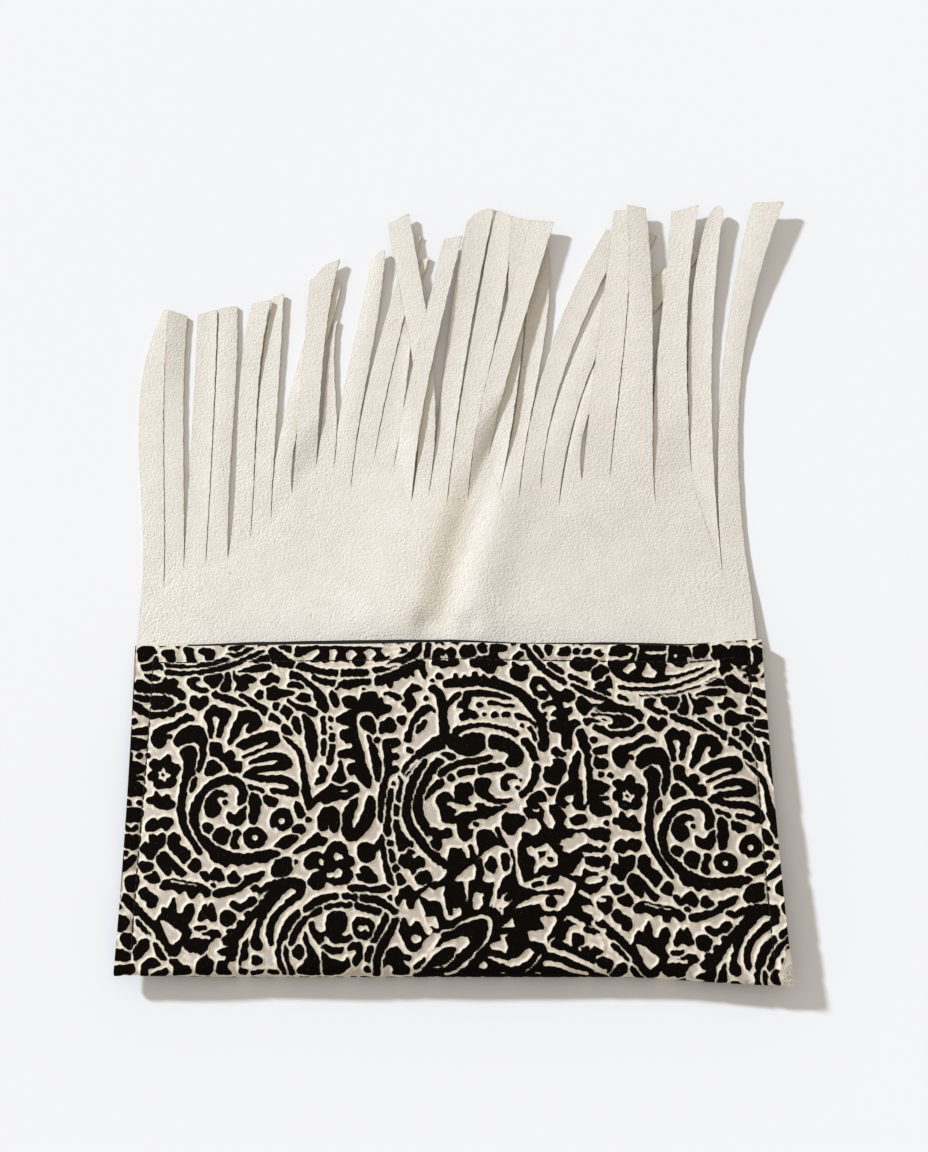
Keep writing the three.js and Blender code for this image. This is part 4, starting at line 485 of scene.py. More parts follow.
j -5.5,1.4 -5.2,4 -3.1,5.8 -0.8,6.1 0.9,4.9 1.5,3 2.2,3.8 2.1,8.1 4.2,9.9 8.1,10 9.8,7.5 9.9,5.2 7.8,4.3 8.6,2.1 9.2,1.5 7.8,0.4 3.6,0.6 2,1.6 0.2,1.9 -1.1,1.3 0.3,0.2 2.8,-1.6 1.6,-3.9 6,-2.4 11.3,-1.4 10.2,0 11,1.5 13.6,1.5 15.4,0.2 19,0.3 23,0.8 23.6,-0.1 21.3,-1.6 17.8,-3.6 14.8,-5.1 11.9,-5.2 9.5,-6 7.8,-8.6 9.8,-9.4 9.8,-10.7 9,-13.1 6,-14.2 3.6,-12.2 2.8,-9.5 3,-7 0.7,-7.3 -2.2,-6.6 -3.5,-4.8 -3.7,-1.3
j 10.2,10.5 11,11.6 13.6,12.2 16.9,11.4 16.9,8.7 15.7,6.9 16.6,5.5 18.9,3.7 22.5,3.4 25.7,3.7 26.1,2.5 24.2,1.6 18.9,1.2 16.6,1.6 14.2,2.8 11.9,4.3 10.4,6.4
j 20.5,10.5 20.7,8.1 22.5,6.4 24.5,6.6 25.3,8.1 24.2,9.6 23.9,10.8 26,11.4 27.9,11.6 28.1,12.8 26.6,13.7 23.6,13.8 21.3,12.5
e 0.8 29.1,11.1
e 1.1 27.9,7.9
j 21,-6.4 21.2,-4 22.4,-2.4 25,-2.6 28,-2.8 30.4,-4 31.4,-6.2 30,-7.8 28,-9.4 26.4,-11.4 24.6,-11.9 22.6,-10.8 21.4,-8.8
j 10.8,-12 11.6,-10 14,-9.2 17,-9.3 18.2,-10.6 19.4,-12.8 20,-12.6 18.8,-10 18.6,-8.2 19.4,-7.9 20.4,-9 21.4,-11.6 22.6,-14 23.6,-16.6 22.8,-17 20.6,-16.2 18.6,-16.2 16,-17.6 13.6,-19.2 11.6,-21 10,-23 9.6,-21 11.2,-20 11.8,-18 11.2,-15.4
j 7.5,-16.4 8.4,-15.4 9.8,-16 10.4,-18 10.6,-20.4 10,-22.6 8.8,-21.6 8.2,-18.6
j -0.4,-19.5 0.6,-17.6 2.8,-16.9 5,-17.6 6.4,-19.6 7,-22 4,-24 1,-24 0,-22
j -8.7,-8.4 -5,-9.4 -2.2,-9.5 -1.4,-8.6 1,-9.2 1.4,-11.3 0.4,-13.1 -2.8,-13.4 -2.8,-16 -4.3,-17.8 -6.4,-17.2 -6.6,-14.2 -7.2,-11.9 -9.6,-9.6 -10.8,-7
j 30.2,-0.4 31.4,-0.2 33.6,-1.6 36.4,-2.4 37.4,-4 37.4,-5.2 35.4,-5.2 33.4,-5 32,-4.4 30.8,-2.4
p -103.6,39.4 -101.6,43.4 -98.4,45.4 -96,45 -93,44.6 -90.6,43.4 -87.6,42.8 -82.6,43 -79.2,41.4 -76.6,38 -75.4,36 -75.2,34.4 -71.4,34 -69.6,32.2 -68.4,29.6 -66,26.6 -63,23.6 -61.6,20 -61,16 -60.6,12 -60.4,8 -60.6,4 -66,2.8 -71,4.2 -74.4,5.4 -74.8,8.4 -75,9.6 -79,10 -83,10.8 -85.6,12.6 -85.8,14.4 -88,14 -90.6,14.4 -92.4,16.6 -94.6,19 -97,20.6 -99,21.4 -99.8,24.4 -99.8,27 -98.4,29 -99.8,29.6 -100.4,32.4 -102,35.6
j -101.8,40.2 -100.9,42 -98,44.4 -96.2,43.8 -95.4,42.9 -93.3,43.3 -91.2,42 -90.5,39.9 -91.5,37.3 -93,33.8 -93.6,30.8 -94.8,29.5 -95.9,30.2 -96.2,32.6 -95.4,36.1 -95.4,38.2 -96.8,38.8 -98,38.8 -97.4,36.1 -97.1,32.6 -97.7,29.6 -99.2,29.8 -99.8,32.6 -100.6,36.1 -101.5,38.5
j -87.7,40.8 -85.6,41.7 -82.7,41.9 -79.8,40.2 -78,37.9 -77.1,36.4 -78,34.4 -80.4,32.3 -82.4,31.3 -83.9,32.3 -83.9,33.8 -83,34.9 -82.7,36.6 -84.5,35.2 -85.9,33.2 -86.5,30.8 -88,29.1 -89.8,27 -90.9,26.6 -91.8,28.2 -90.9,30.2 -90.4,33.8 -89.5,36.1 -88.3,38.5
j -88.3,26.2 -86.2,28.5 -82.7,30.2 -78.6,31.7 -75.1,32.6 -72.1,32.7 -70.4,31.4 -69.5,29.1 -70.1,26.7 -72.7,25.2 -76.2,24.1 -79.8,22.6 -83.3,21.1 -85.1,20.7 -85.6,21.5 -84.5,22.3 -81.5,23.8 -78,25.2 -75.1,26.4 -74.2,27.4 -76.2,27.3 -79.8,26.2 -82.1,25.2 -84.2,24.1 -85.4,24.4 -86.8,25.2
j -82.7,19.1 -80.4,20.5 -76.8,22.3 -73.3,23.3 -69.8,23.2 -66.5,22.1 -64.6,19.9 -64,17.8 -64.9,16.4 -67.4,15.4 -72.7,15.1 -77.9,14.7 -78,13.9 -72.7,13.6 -67.4,13.5 -64.5,12 -61.8,9.6 -61.1,7.3 -61.5,4.9 -63,4.1 -65.6,4.4 -69.8,5.6 -72.7,5.8 -73.6,7.3 -72.7,8.6 -70.4,8.2 -67.4,7.5 -65.6,8.2 -66.8,9.4 -70.4,10.1 -76.2,10.5 -79.8,11.4 -82.1,12 -84.5,13.1 -84.8,14.1 -82.7,15.8 -79.8,17.3 -76.2,17.9 -72.7,18.2 -70.4,19.1 -70.6,19.9 -72.7,19.8 -76.2,19.1 -79.8,18.4 -81.8,18
j -98.9,26.7 -97.7,28.2 -94.8,28.2 -93.4,26.4 -93.3,24.4 -92.6,23.2 -91.2,24.6 -89.2,24.6 -87.7,22.6 -88.3,20.8 -88.9,19.9 -87.4,20.2 -85.4,19.6 -84.8,17.3 -85.4,15.2 -88,14.8 -90.1,15.1 -91.2,17.3 -93.9,19.9 -96.2,21.4 -98.3,22 -98.7,24.4
p -69.6,-28.4 -57,-28.4 -56.6,-36.6 -60.1,-40 -64.4,-43.7 -67.7,-48 -68.8,-52 -69.3,-56.5 -69.8,-60 -70.2,-64 -74.5,-65 -79,-65 -84.3,-64.2 -84.1,-59 -82.9,-54.6 -81.2,-50.6 -78.2,-46.2 -75,-43 -71.8,-38 -69.6,-33.5
j -71,-30 -66,-28.9 -61,-28.7 -57.9,-29.8 -57.5,-33 -58.3,-36.4 -60.5,-38.3 -63.3,-40.2 -66.7,-43.1 -69.1,-46.8 -69.9,-50.4 -69.9,-54.6 -71,-56.2 -72.4,-54.4 -73.1,-50.9 -72.4,-46.6 -70.6,-43.2 -67.1,-39.4 -64.3,-36.7 -61.3,-34.9 -61.2,-33.8 -63.6,-33.5 -65.9,-34.9 -68.7,-38.2 -71.5,-41.6 -73.7,-45.9 -75.1,-49.4 -75.5,-52.4 -74.2,-54.6 -74.4,-57.2 -76.8,-58 -79,-56.2 -78.6,-52.8 -77.7,-49.2 -76.9,-46.2 -76.6,-42.4 -73.6,-37.4 -71.4,-32.8
j -80.2,-52.4 -82.4,-55 -83.4,-59 -83.7,-63.6 -82.3,-63.6 -82.2,-61.8 -80,-60.9 -79.8,-57 -79.8,-53
j -78.1,-59.4 -74.2,-60.3 -73.9,-62.8 -77.6,-63.6 -78.4,-61.4
"""


def sweep(points, step=1.0):
    """Points along a smooth curve through the charted ones."""
    p = np.asarray(points, float)
    if len(p) < 3:
        n = max(2, int(np.linalg.norm(p[-1] - p[0]) / step) + 1)
        return p[0] + (p[-1] - p[0]) * np.linspace(0, 1, n)[:, None]
    q = np.vstack([2 * p[0] - p[1], p, 2 * p[-1] - p[-2]])
    out = []
    for a, b, c, d in zip(q[:-3], q[1:-2], q[2:-1], q[3:]):
        n = max(2, int(np.linalg.norm(c - b) / step) + 1)
        t = np.linspace(0, 1, n, endpoint=False)[:, None]
        out.append(0.5 * (2 * b + (c - a) * t + (2 * a - 5 * b + 4 * c - d) * t**2 + (3 * b - a - 3 * c + d) * t**3))
    return np.vstack(out + [p[-1:]])


def loop(points, step=1.1):
    """Points round a smooth closed curve through the charted ones."""
    p = np.asarray(points, float)
    out = []
    for k in range(len(p)):
        a, b, c, d = p[k - 1], p[k], p[(k + 1) % len(p)], p[(k + 2) % len(p)]
        n = max(2, int(np.linalg.norm(c - b) / step) + 1)
        t = np.linspace(0, 1, n, endpoint=False)[:, None]
        out.append(0.5 * (2 * b + (c - a) * t + (2 * a - 5 * b + 4 * c - d) * t**2 + (3 * b - a - 3 * c + d) * t**3))
    return np.vstack(out)


def charted():
    """The rows as (paint, shape number, curve, radii); a shape's outline has no radii."""
    rows, number = [], 0
    for line in CHART.strip().splitlines():
        w = line.split()
        k = w[0].lstrip("+")
        number += not w[0].startswith("+")
        n = {"s": 2, "c": 2, "o": 2, "l": 1, "d": 1, "e": 1}.get(k, 0)
        v = [float(x) for x in w[1 : 1 + n]]
        pts = [tuple(float(x) for x in a.split(",")) for a in w[1 + n :]]
        paint = {"c": "bare", "p": "bare", "e": "over", "j": "over", "g": "ground"}.get(k, "ink")
        if k in "ij":
            rows.append((paint, number, loop(pts), None))
        elif k in "pg":
            rows.append((paint, number, np.array(pts), None))
        else:
            c = sweep(pts) if len(pts) > 1 else np.array([pts[0], pts[0]])
            t = np.linspace(0, 1, len(c))
            if k in "sc":
                rows.append((paint, number, c, (v[0] + (v[1] - v[0]) * t) / 2))
            elif k == "l":
                rows.append((paint, number, c, v[0] / 2 * (0.22 + 0.78 * np.sin(np.pi * t) ** 0.8)))
            else:
                wob = np.array([[-0.12, 0.05], [0.12, -0.05]]) * v[0]
                rows.append((paint, number, c + wob, np.full(2, v[0] * 0.97)))
                if k == "o":
                    rows.append(("bare", number, c, np.full(2, v[1])))
    return rows


LO, HI, PITCH = np.array([-142.0, -78.0]), np.array([144.0, 80.0]), 0.25
REACH = 4.5
LINE = 0.85             # least width of bare ground between shapes
SPREAD = 0.45           # how far the ink spreads past the chart


def near(curve, radii, x, y):
    """Signed distance to a brush stroke or to a closed outline, negative inside."""
    best = np.full(x.shape, 1e3)
    if radii is None:
        inside = np.zeros(x.shape, bool)
        for a, b in zip(curve, np.roll(curve, -1, axis=0)):
            d = b - a
            t = np.clip(((x - a[0]) * d[0] + (y - a[1]) * d[1]) / max(d @ d, 1e-9), 0, 1)
            np.minimum(best, np.hypot(x - a[0] - d[0] * t, y - a[1] - d[1] * t), out=best)
            if abs(d[1]) > 1e-9:
                inside ^= ((a[1] > y) != (b[1] > y)) & (x < a[0] + d[0] * (y - a[1]) / d[1])
        return np.where(inside, -best, best)
    for a, b, ra, rb in zip(curve[:-1], curve[1:], radii[:-1], radii[1:]):
        d = b - a
        t = np.clip(((x - a[0]) * d[0] + (y - a[1]) * d[1]) / max(d @ d, 1e-9), 0, 1)
        np.minimum(best, np.hypot(x - a[0] - d[0] * t, y - a[1] - d[1] * t) - (ra + (rb - ra) * t), out=best)
    return best


def soften(f, times=2):
    for _ in range(times):
        p = np.pad(f, 1, mode="edge")
        f = (p[:-2, 1:-1] + p[2:, 1:-1] + p[1:-1, :-2] + p[1:-1, 2:] + 2 * p[1:-1, 1:-1]) / 6
    return f


def wave(x, y, scale, seed):
    """Smooth, repeatable unevenness between about -1 and 1."""
    g = np.random.default_rng(seed)
    out = 0
    for _ in range(6):
        a, ph, k = g.uniform(0, 2 * np.pi), g.uniform(0, 2 * np.pi), g.uniform(0.6, 1.5)
        out = out + np.sin((x * np.cos(a) + y * np.sin(a)) * 2 * np.pi * k / scale + ph)
    return out / 3


def print_field():
    """Signed distance to the print's ink over the panel, negative inside."""
    nx, ny = ((HI - LO) / PITCH).astype(int) + 1
    gx, gy = np.meshgrid(LO[0] + PITCH * np.arange(nx), LO[1] + PITCH * np.arange(ny))
    x = gx + 0.16 * wave(gx, gy, 11, 1) + 0.24 * wave(gx, gy, 3.6, 2)
    y = gy + 0.16 * wave(gx, gy, 11, 3) + 0.24 * wave(gx, gy, 3.6, 4)
    d1, d2 = np.full(gx.shape, REACH), np.full(gx.shape, REACH)
    l1, l2 = np.full(gx.shape, -1), np.full(gx.shape, -2)
    other = {k: np.full(gx.shape, REACH) for k in ("bare", "over", "ground")}
    for shift in (0, 1):
        for paint, number, c, r in charted():
            c = c + np.array(REPEAT) * shift
            pad = REACH + 0.5 + (0 if r is None else r.max())
            i0, j0 = np.clip(((c.min(0) - pad - LO) / PITCH).astype(int), 0, (nx, ny))
            i1, j1 = np.clip(((c.max(0) + pad - LO) / PITCH).astype(int) + 1, 0, (nx, ny))
            if i0 >= i1 or j0 >= j1:
                continue
            w = np.s_[j0:j1, i0:i1]
            sd = near(c, r, x[w], y[w])
            if paint != "ink":
                np.minimum(other[paint][w], sd, out=other[paint][w])
                continue
            # nearest shape and next nearest
            g = number + 10000 * shift
            a, b, m, n = d1[w], d2[w], l1[w], l2[w]
            own = m == g
            first = ~own & (sd < a)
            second = ~own & ~first & ((n == g) | (sd < b))
            b[first], n[first] = a[first], m[first]
            b[second] = np.where(n[second] == g, np.minimum(b[second], sd[second]), sd[second])
            n[second] = g
            a[own] = np.minimum(a[own], sd[own])
            a[first], m[first] = sd[first], g
    line = LINE + 0.2 * wave(gx, gy, 17, 6)
    ink = np.maximum(d1 - SPREAD, (line - (d2 - d1)) / 2)
    # past the charted part the ground is filled with small rounded shapes
    g = np.random.default_rng(7)
    cell = 7.0
    cx, cy = np.meshgrid(np.arange(LO[0], HI[0], cell), np.arange(LO[1], HI[1], cell))
    seeds = np.stack([cx.ravel(), cy.ravel()], 1) + g.uniform(-0.42, 0.42, (cx.size, 2)) * cell
    e1 = np.full(gx.shape, 1e3)
    e2 = np.full(gx.shape, 1e3)
    for sx, sy in seeds:
        i0, i1 = [int(np.clip((sx + k * 15 - LO[0]) / PITCH, 0, nx)) for k in (-1, 1)]
        j0, j1 = [int(np.clip((sy + k * 15 - LO[1]) / PITCH, 0, ny)) for k in (-1, 1)]
        w = np.s_[j0:j1, i0:i1]
        d = np.hypot(x[w] - sx, y[w] - sy)
        e2[w] = np.minimum(e2[w], np.maximum(e1[w], d))
        e1[w] = np.minimum(e1[w], d)
    wavy = 0.9 * wave(gx, gy, 9, 8)
    inside = (gx > -133 + wavy) & (gx < 60) & (np.abs(gy) < 69.3 + wavy) | (gx > 59) & (gy < 71 + wavy) & (gy > -69.3 + wavy)
    fill = np.maximum(np.maximum(1.5 - ink, 0.75 - (e2 - e1) / 2), np.where(inside, 9, -9))
    ink = np.minimum(ink, fill)
    ink = np.minimum(ink, other["ground"])
    ink = np.maximum(ink, -other["bare"])
    return soften(np.minimum(ink, other["over"]), 1)


# ---------------------------------------------------------------- the bag's form
WALL, SUEDE, LINING, CLEAR = 1.4, 1.3, 1.0, 0.3
SEAM_IN, HALF_WIDTH, FOLD_FLARE = 7.0, 132.1, 2.9
LEAN_FOLD, LEAN_MOUTH = 1.7, -0.5
FOLD_Y, FOLD_DROP, MOUTH_Y, MOUTH_RISE = -66.8, 3.9, 70.6, 3.9
EDGE_TOP_FOLD, EDGE_TOP_MOUTH = 9.0, 6.0
CROWN_END, CROWN_MID, CROWN_POWER = 11.0, 14.5, 2.6
BACK_FLAT, FOLD_ROUND = 0.62, 0.9
TONGUE_IN, TONGUE_SHARE = 11.0, 0.68
FLAP_LEFT, FLAP_RIGHT = -132.1, 129.8
FLAP_BASE_MID, FLAP_BASE_SIDE, FLAP_FLOOR, FLAP_DROP = 3.2, 4.4, 1.4, 60.0


def ease(a, b, t):
    u = np.clip((t - a) / (b - a), 0, 1)
    return u * u * (3 - 2 * u)


def lerp(a, b, t):
    return a + (b - a) * t


def bell(d, mid, spread):
    return np.exp(-(((d - mid) / spread) ** 2))


def half_width(v):
    return HALF_WIDTH + FOLD_FLARE * (1 - v) ** 2.2


def centre(v):
    return lerp(LEAN_FOLD, LEAN_MOUTH, v)


def edge_top(v):
    return lerp(EDGE_TOP_FOLD, EDGE_TOP_MOUTH, v)


def front_z(u, v):
    crown = CROWN_END + (CROWN_MID - CROWN_END) * 4 * v * (1 - v)
    return lerp(crown, edge_top(v), np.minimum(1, np.abs(u)) ** CROWN_POWER)


def back_z(u, v):
    return (edge_top(v) - 2 * WALL) * ease(BACK_FLAT, 1, np.abs(u))


def fold_half(u):
    return (front_z(u, 0.0) - back_z(u, 0.0)) / 2


def tangent_y(u):
    return FOLD_Y - FOLD_DROP * ease(0.5, 1.05, u) + FOLD_ROUND * fold_half(u)


def mouth_y(u):
    return MOUTH_Y + 0.8 * ease(0.8, 1.05, -u) + 0.7 * bell(u, 0, 0.2) + MOUTH_RISE * ease(0.75, 1.08, u)


def seam_share(x):
    return (x - LEAN_MOUTH) / (HALF_WIDTH - SEAM_IN)


def flap_z(x, y):
    down = np.clip((y - MOUTH_Y) / FLAP_DROP, 0, 1)
    base = lerp(FLAP_BASE_MID, FLAP_BASE_SIDE, ease(0.62, 1, np.abs(x) / 123))
    up = y - 90
    across = x - (-2.6 + 0.2 * up + 0.0012 * np.maximum(up, 0) ** 2)
    strength = ease(66, 88, y) * (1 - 0.5 * ease(125, 165, y))
    crease = 2.1 * bell(across, -13, np.where(across < -13, 24, 8.5)) - 0.6 * bell(across, 0, 5) + 1.9 * bell(across, 13.5, np.where(across > 13.5, 12, 7.8))
    for dx, dy in ((-10.6, 81.8), (8.5, 81.8)):
        crease = crease - 1.5 * bell(x, dx, 4.6) * bell(y, dy, 5.5)
    return np.maximum(FLAP_FLOOR, lerp(base, FLAP_FLOOR, 1 - (1 - down) ** 2) + strength * crease)


# ---------------------------------------------------------------- mesh helpers
def solid(name, points, faces, materials, face_material=None, fields=None):
    """A mesh object from points in millimetres and faces as rows of 3 or 4 indices."""
    mesh = bpy.data.meshes.new(name)
    mesh.vertices.add(len(points))
    mesh.vertices.foreach_set("co", (np.asarray(points, float) * MM).ravel())
    loops = np.concatenate([f.ravel() for f in faces])
    sizes = np.concatenate([np.full(len(f), f.shape[1]) for f in faces])
    starts = np.concatenate([[0], np.cumsum(sizes)[:-1]])
    mesh.loops.add(len(loops))
    mesh.loops.foreach_set("vertex_index", loops.astype(np.int32))
    mesh.polygons.add(len(sizes))
    mesh.polygons.foreach_set("loop_start", starts.astype(np.int32))
    mesh.update(calc_edges=True)
    mesh.validate()
    for key, values in (fields or {}).items():
        mesh.attributes.new(key, "FLOAT", "POINT").data.foreach_set("value", np.asarray(values, np.float32))
    for m in materials:
        mesh.materials.append(m)
    if face_material is not None:
        mesh.polygons.foreach_set("material_index", np.asarray(face_material, np.int32))
    bm = bmesh.new()
    bm.from_mesh(mesh)
    bmesh.ops.recalc_face_normals(bm, faces=bm.faces[:])
    bm.to_mesh(mesh)
    bm.free()
    mesh.polygons.foreach_set("use_smooth", np.ones(len(mesh.polygons), bool))
    mesh.set_sharp_from_angle(angle=math.radians(60))
    mesh.update()
    obj = bpy.data.objects.new(name, mesh)
    bpy.context.scene.collection.objects.link(obj)
    return obj


def quads(index):
    """Faces of a grid of point numbers."""
    return np.stack([index[:-1, :-1], index[1:, :-1], index[1:, 1:], index[:-1, 1:]], -1).reshape(-1, 4)


def join_edges(fine, coarse):
    """Triangles between a fine row of points and a coarse row alongside it."""
    k = (len(fine) - 1) // (len(coarse) - 1)
    out = []
    for i in range(len(coarse) - 1):
        a, b, run = coarse[i], coarse[i + 1], fine[i * k : i * k + k + 1]
        h = k // 2
        out += [(a, run[j], run[j + 1]) for j in range(h)] + [(a, run[h], b)]
        out += [(b, run[j], run[j + 1]) for j in range(h, k)]
    return np.array(out)


def normals_of(p):
    n = np.cross(np.gradient(p, axis=0), np.gradient(p, axis=1))
    return n / np.maximum(np.linalg.norm(n, axis=-1, keepdims=True), 1e-9)


def walled(outer, inner, step_r, step_c):
    """Points and faces of a wall: a fine outer grid, a coarse inner one and the rims between."""
    nr, nc = outer.shape[:2]
    inner = inner[::step_r, ::step_c]
    io = np.arange(nr * nc).reshape(nr, nc)
    ii = nr * nc + np.arange(inner.shape[0] * inner.shape[1]).reshape(inner.shape[:2])
    pts = np.vstack([outer.reshape(-1, 3), inner.reshape(-1, 3)])
    rims = [join_edges(io[r], ii[r]) for r in (0, -1)] + [join_edges(io[:, c], ii[:, c]) for c in (0, -1)]
    return pts, [quads(io), quads(ii), np.vstack(rims)], nr * nc


# ---------------------------------------------------------------- materials
def material(name):
    m = bpy.data.materials.new(name)
    m.use_nodes = True
    return m, m.node_tree, m.node_tree.nodes["Principled BSDF"]


def noise(tree, scale, detail=2.0, rough=0.5, vector=None):
    n = tree.nodes.new("ShaderNodeTexNoise")
    n.inputs["Scale"].default_value = scale
    n.inputs["Detail"].default_value = detail
    n.inputs["Roughness"].default_value = rough
    if vector is not None:
        tree.links.new(vector, n.inputs["Vector"])
    return n.outputs["Fac"]


def cells(tree, scale, vector, smooth=0.5):
    n = tree.nodes.new("ShaderNodeTexVoronoi")
    n.feature = "SMOOTH_F1"
    n.inputs["Scale"].default_value = scale
    n.inputs["Smoothness"].default_value = smooth
    tree.links.new(vector, n.inputs["Vector"])
    return n.outputs["Distance"]


def ramp(tree, value, low, high, to_low=0.0, to_high=1.0, smooth=True):
    n = tree.nodes.new("ShaderNodeMapRange")
    n.interpolation_type = "SMOOTHSTEP" if smooth else "LINEAR"
    tree.links.new(value, n.inputs["Value"])
    for key, v in (("From Min", low), ("From Max", high), ("To Min", to_low), ("To Max", to_high)):
        n.inputs[key].default_value = v
    return n.outputs["Result"]


def mix(tree, fac, a, b, kind="MIX"):
    n = tree.nodes.new("ShaderNodeMix")
    n.data_type = "RGBA"
    n.blend_type = kind
    for value, key in ((fac, 0), (a, 6), (b, 7)):
        if isinstance(value, (int, float)):
            n.inputs[key].default_value = value
        elif isinstance(value, tuple):
            n.inputs[key].default_value = value + (1.0,)
        else:
            tree.links.new(value, n.inputs[key])
    return n.outputs[2]


def calc(tree, op, a, b=None):
    n = tree.nodes.new("ShaderNodeMath")
    n.operation = op
    for i, value in enumerate((a, b)):
        if value is None:
            continue
        if isinstance(value, (int, float)):
            n.inputs[i].default_value = value
        else:
            tree.links.new(value, n.inputs[i])
    return n.outputs[0]


def bump(tree, height, distance, strength=1.0, normal=None):
    n = tree.nodes.new("ShaderNodeBump")
    n.inputs["Strength"].default_value = strength
    n.inputs["Distance"].default_value = distance
    tree.links.new(height, n.inputs["Height"])
    if normal is not None:
        tree.links.new(normal, n.inputs["Normal"])
    return n.outputs["Normal"]


def print_material():
    m, t, bsdf = material("printed_fabric")
    place = t.nodes.new("ShaderNodeTexCoord").outputs["Object"]
    ink = t.nodes.new("ShaderNodeAttribute")
    ink.attribute_name = "ink"
    ink = ink.outputs["Fac"]
    fuzz = calc(t, "MULTIPLY", calc(t, "SUBTRACT", noise(t, 2600, 2, 0.6, place), 0.5), 0.5)
    black = ramp(t, calc(t, "ADD", ink, fuzz), 0.20, -0.10)
    uneven = calc(t, "MULTIPLY", calc(t, "SUBTRACT", noise(t, 420, 2, 0.5, place), 0.5), 1.3)
    # taupe in the low ground furthest from the ink: partly the ground's own tone, partly painted shade in the hollows
    hollow_tone_and_shade = ramp(t, calc(t, "ADD", ink, uneven), 0.8, 1.7, 0.0, 0.85)
    cream = mix(t, ramp(t, noise(t, 1100, 3, 0.6, place), 0.3, 0.7), (0.614, 0.549, 0.444), (0.735, 0.664, 0.548))
    taupe = mix(t, ramp(t, noise(t, 1300, 2, 0.6, place), 0.3, 0.7), (0.415, 0.365, 0.315), (0.505, 0.45, 0.395))
    ground = mix(t, hollow_tone_and_shade, cream, taupe)
    speck = ramp(t, noise(t, 1500, 1, 0.5, place), 0.735, 0.79)
    pile = mix(t, ramp(t, noise(t, 1900, 3, 0.7, place), 0.35, 0.75), (0.0017, 0.0010, 0.0006), (0.0064, 0.0042, 0.0027))
    flock = mix(t, speck, pile, (0.06, 0.053, 0.045))
    t.links.new(mix(t, black, ground, flock), bsdf.inputs["Base Color"])
    raised = bump(t, ramp(t, ink, 1.2, -0.1), 0.00040, 0.55)
    weave = noise(t, 2200, 3, 0.65, place)
    t.links.new(bump(t, weave, 0.00022, 0.55, raised), bsdf.inputs["Normal"])
    bsdf.inputs["Roughness"].default_value = 0.97
    bsdf.inputs["Specular IOR Level"].default_value = 0.04
    return m


def suede_material(name, low, high, cut=False):
    m, t, bsdf = material(name)
    place = t.nodes.new("ShaderNodeTexCoord").outputs["Object"]
    base = mix(t, ramp(t, noise(t, 150, 4, 0.6, place), 0.3, 0.7), low, high)
    # painted shade: the flap darker and pinker towards the right, where less light falls; less so in the strips
    where = t.nodes.new("ShaderNodeSeparateXYZ")
    t.links.new(place, where.inputs["Vector"])
    right_side_shade = calc(t, "ADD", where.outputs["X"], calc(t, "MULTIPLY", calc(t, "SUBTRACT", noise(t, 18, 2, 0.5, place), 0.5), 0.09))
    right_side_shade = calc(t, "MULTIPLY", ramp(t, right_side_shade, -0.10, 0.12), ramp(t, where.outputs["Y"], 0.12, 0.20, 1.0, 0.3))
    base = mix(t, 1.0, base, mix(t, right_side_shade, (1.0, 1.0, 1.0), (0.912, 0.898, 0.891)), "MULTIPLY")
    # painted shade: a little yellower along the crease, where its shaded band falls
    along = calc(t, "SUBTRACT", where.outputs["X"], calc(t, "MULTIPLY", where.outputs["Y"], 0.2))
    along = calc(t, "ABSOLUTE", calc(t, "ADD", along, 0.0246))
    crease_shade_tint = calc(t, "MULTIPLY", ramp(t, along, 0.012, 0.002), ramp(t, where.outputs["Y"], 0.072, 0.095))
    crease_shade_tint = calc(t, "MULTIPLY", crease_shade_tint, ramp(t, where.outputs["Y"], 0.175, 0.12))
    base = mix(t, 1.0, base, mix(t, crease_shade_tint, (1.0, 1.0, 1.0), (1.03, 1.015, 0.95)), "MULTIPLY")
    nap = noise(t, 1500, 4, 0.7, place)
    base = mix(t, ramp(t, nap, 0.30, 0.56, 0.32, 0.0), base, tuple(c * f for c, f in zip(low, (0.60, 0.55, 0.47))))
    fleck = ramp(t, noise(t, 620, 1, 0.4, place), 0.765, 0.80)
    base = mix(t, calc(t, "MULTIPLY", fleck, 0.5), base, (0.24, 0.18, 0.12))
    if not cut:
        # a darker, warmer rim along the strips' edges: partly the suede's own cut-edge colour, partly painted shade
        # along the edges
        rim = t.nodes.new("ShaderNodeAttribute")
        rim.attribute_name = "rim"
        frayed = calc(t, "MULTIPLY", calc(t, "SUBTRACT", noise(t, 900, 2, 0.6, place), 0.5), 0.8)
        edge_tone_and_shade = ramp(t, calc(t, "ADD", rim.outputs["Fac"], frayed), 0.40, 0.0)
        base = mix(t, calc(t, "MULTIPLY", edge_tone_and_shade, 0.62), base, tuple(c * f for c, f in zip(low, (0.74, 0.67, 0.55))))
    t.links.new(base, bsdf.inputs["Base Color"])
    grain = calc(t, "SUBTRACT", noise(t, 1150, 2, 0.5, place), calc(t, "MULTIPLY", cells(t, 900, place), 0.55))
    grain = calc(t, "MULTIPLY", grain, ramp(t, noise(t, 16, 2, 0.5, place), 0.35, 0.65, 0.55, 1.0))
    grain = calc(t, "MULTIPLY", grain, ramp(t, where.outputs["Y"], 0.12, 0.20, 1.0, 0.75))
    pebble = bump(t, grain, 0.0008, 0.5)
    t.links.new(bump(t, noise(t, 3200, 2, 0.6, place), 0.0003, 0.5, pebble), bsdf.inputs["Normal"])
    bsdf.inputs["Roughness"].default_value = 0.96
    bsdf.inputs["Specular IOR Level"].default_value = 0.12
    return m


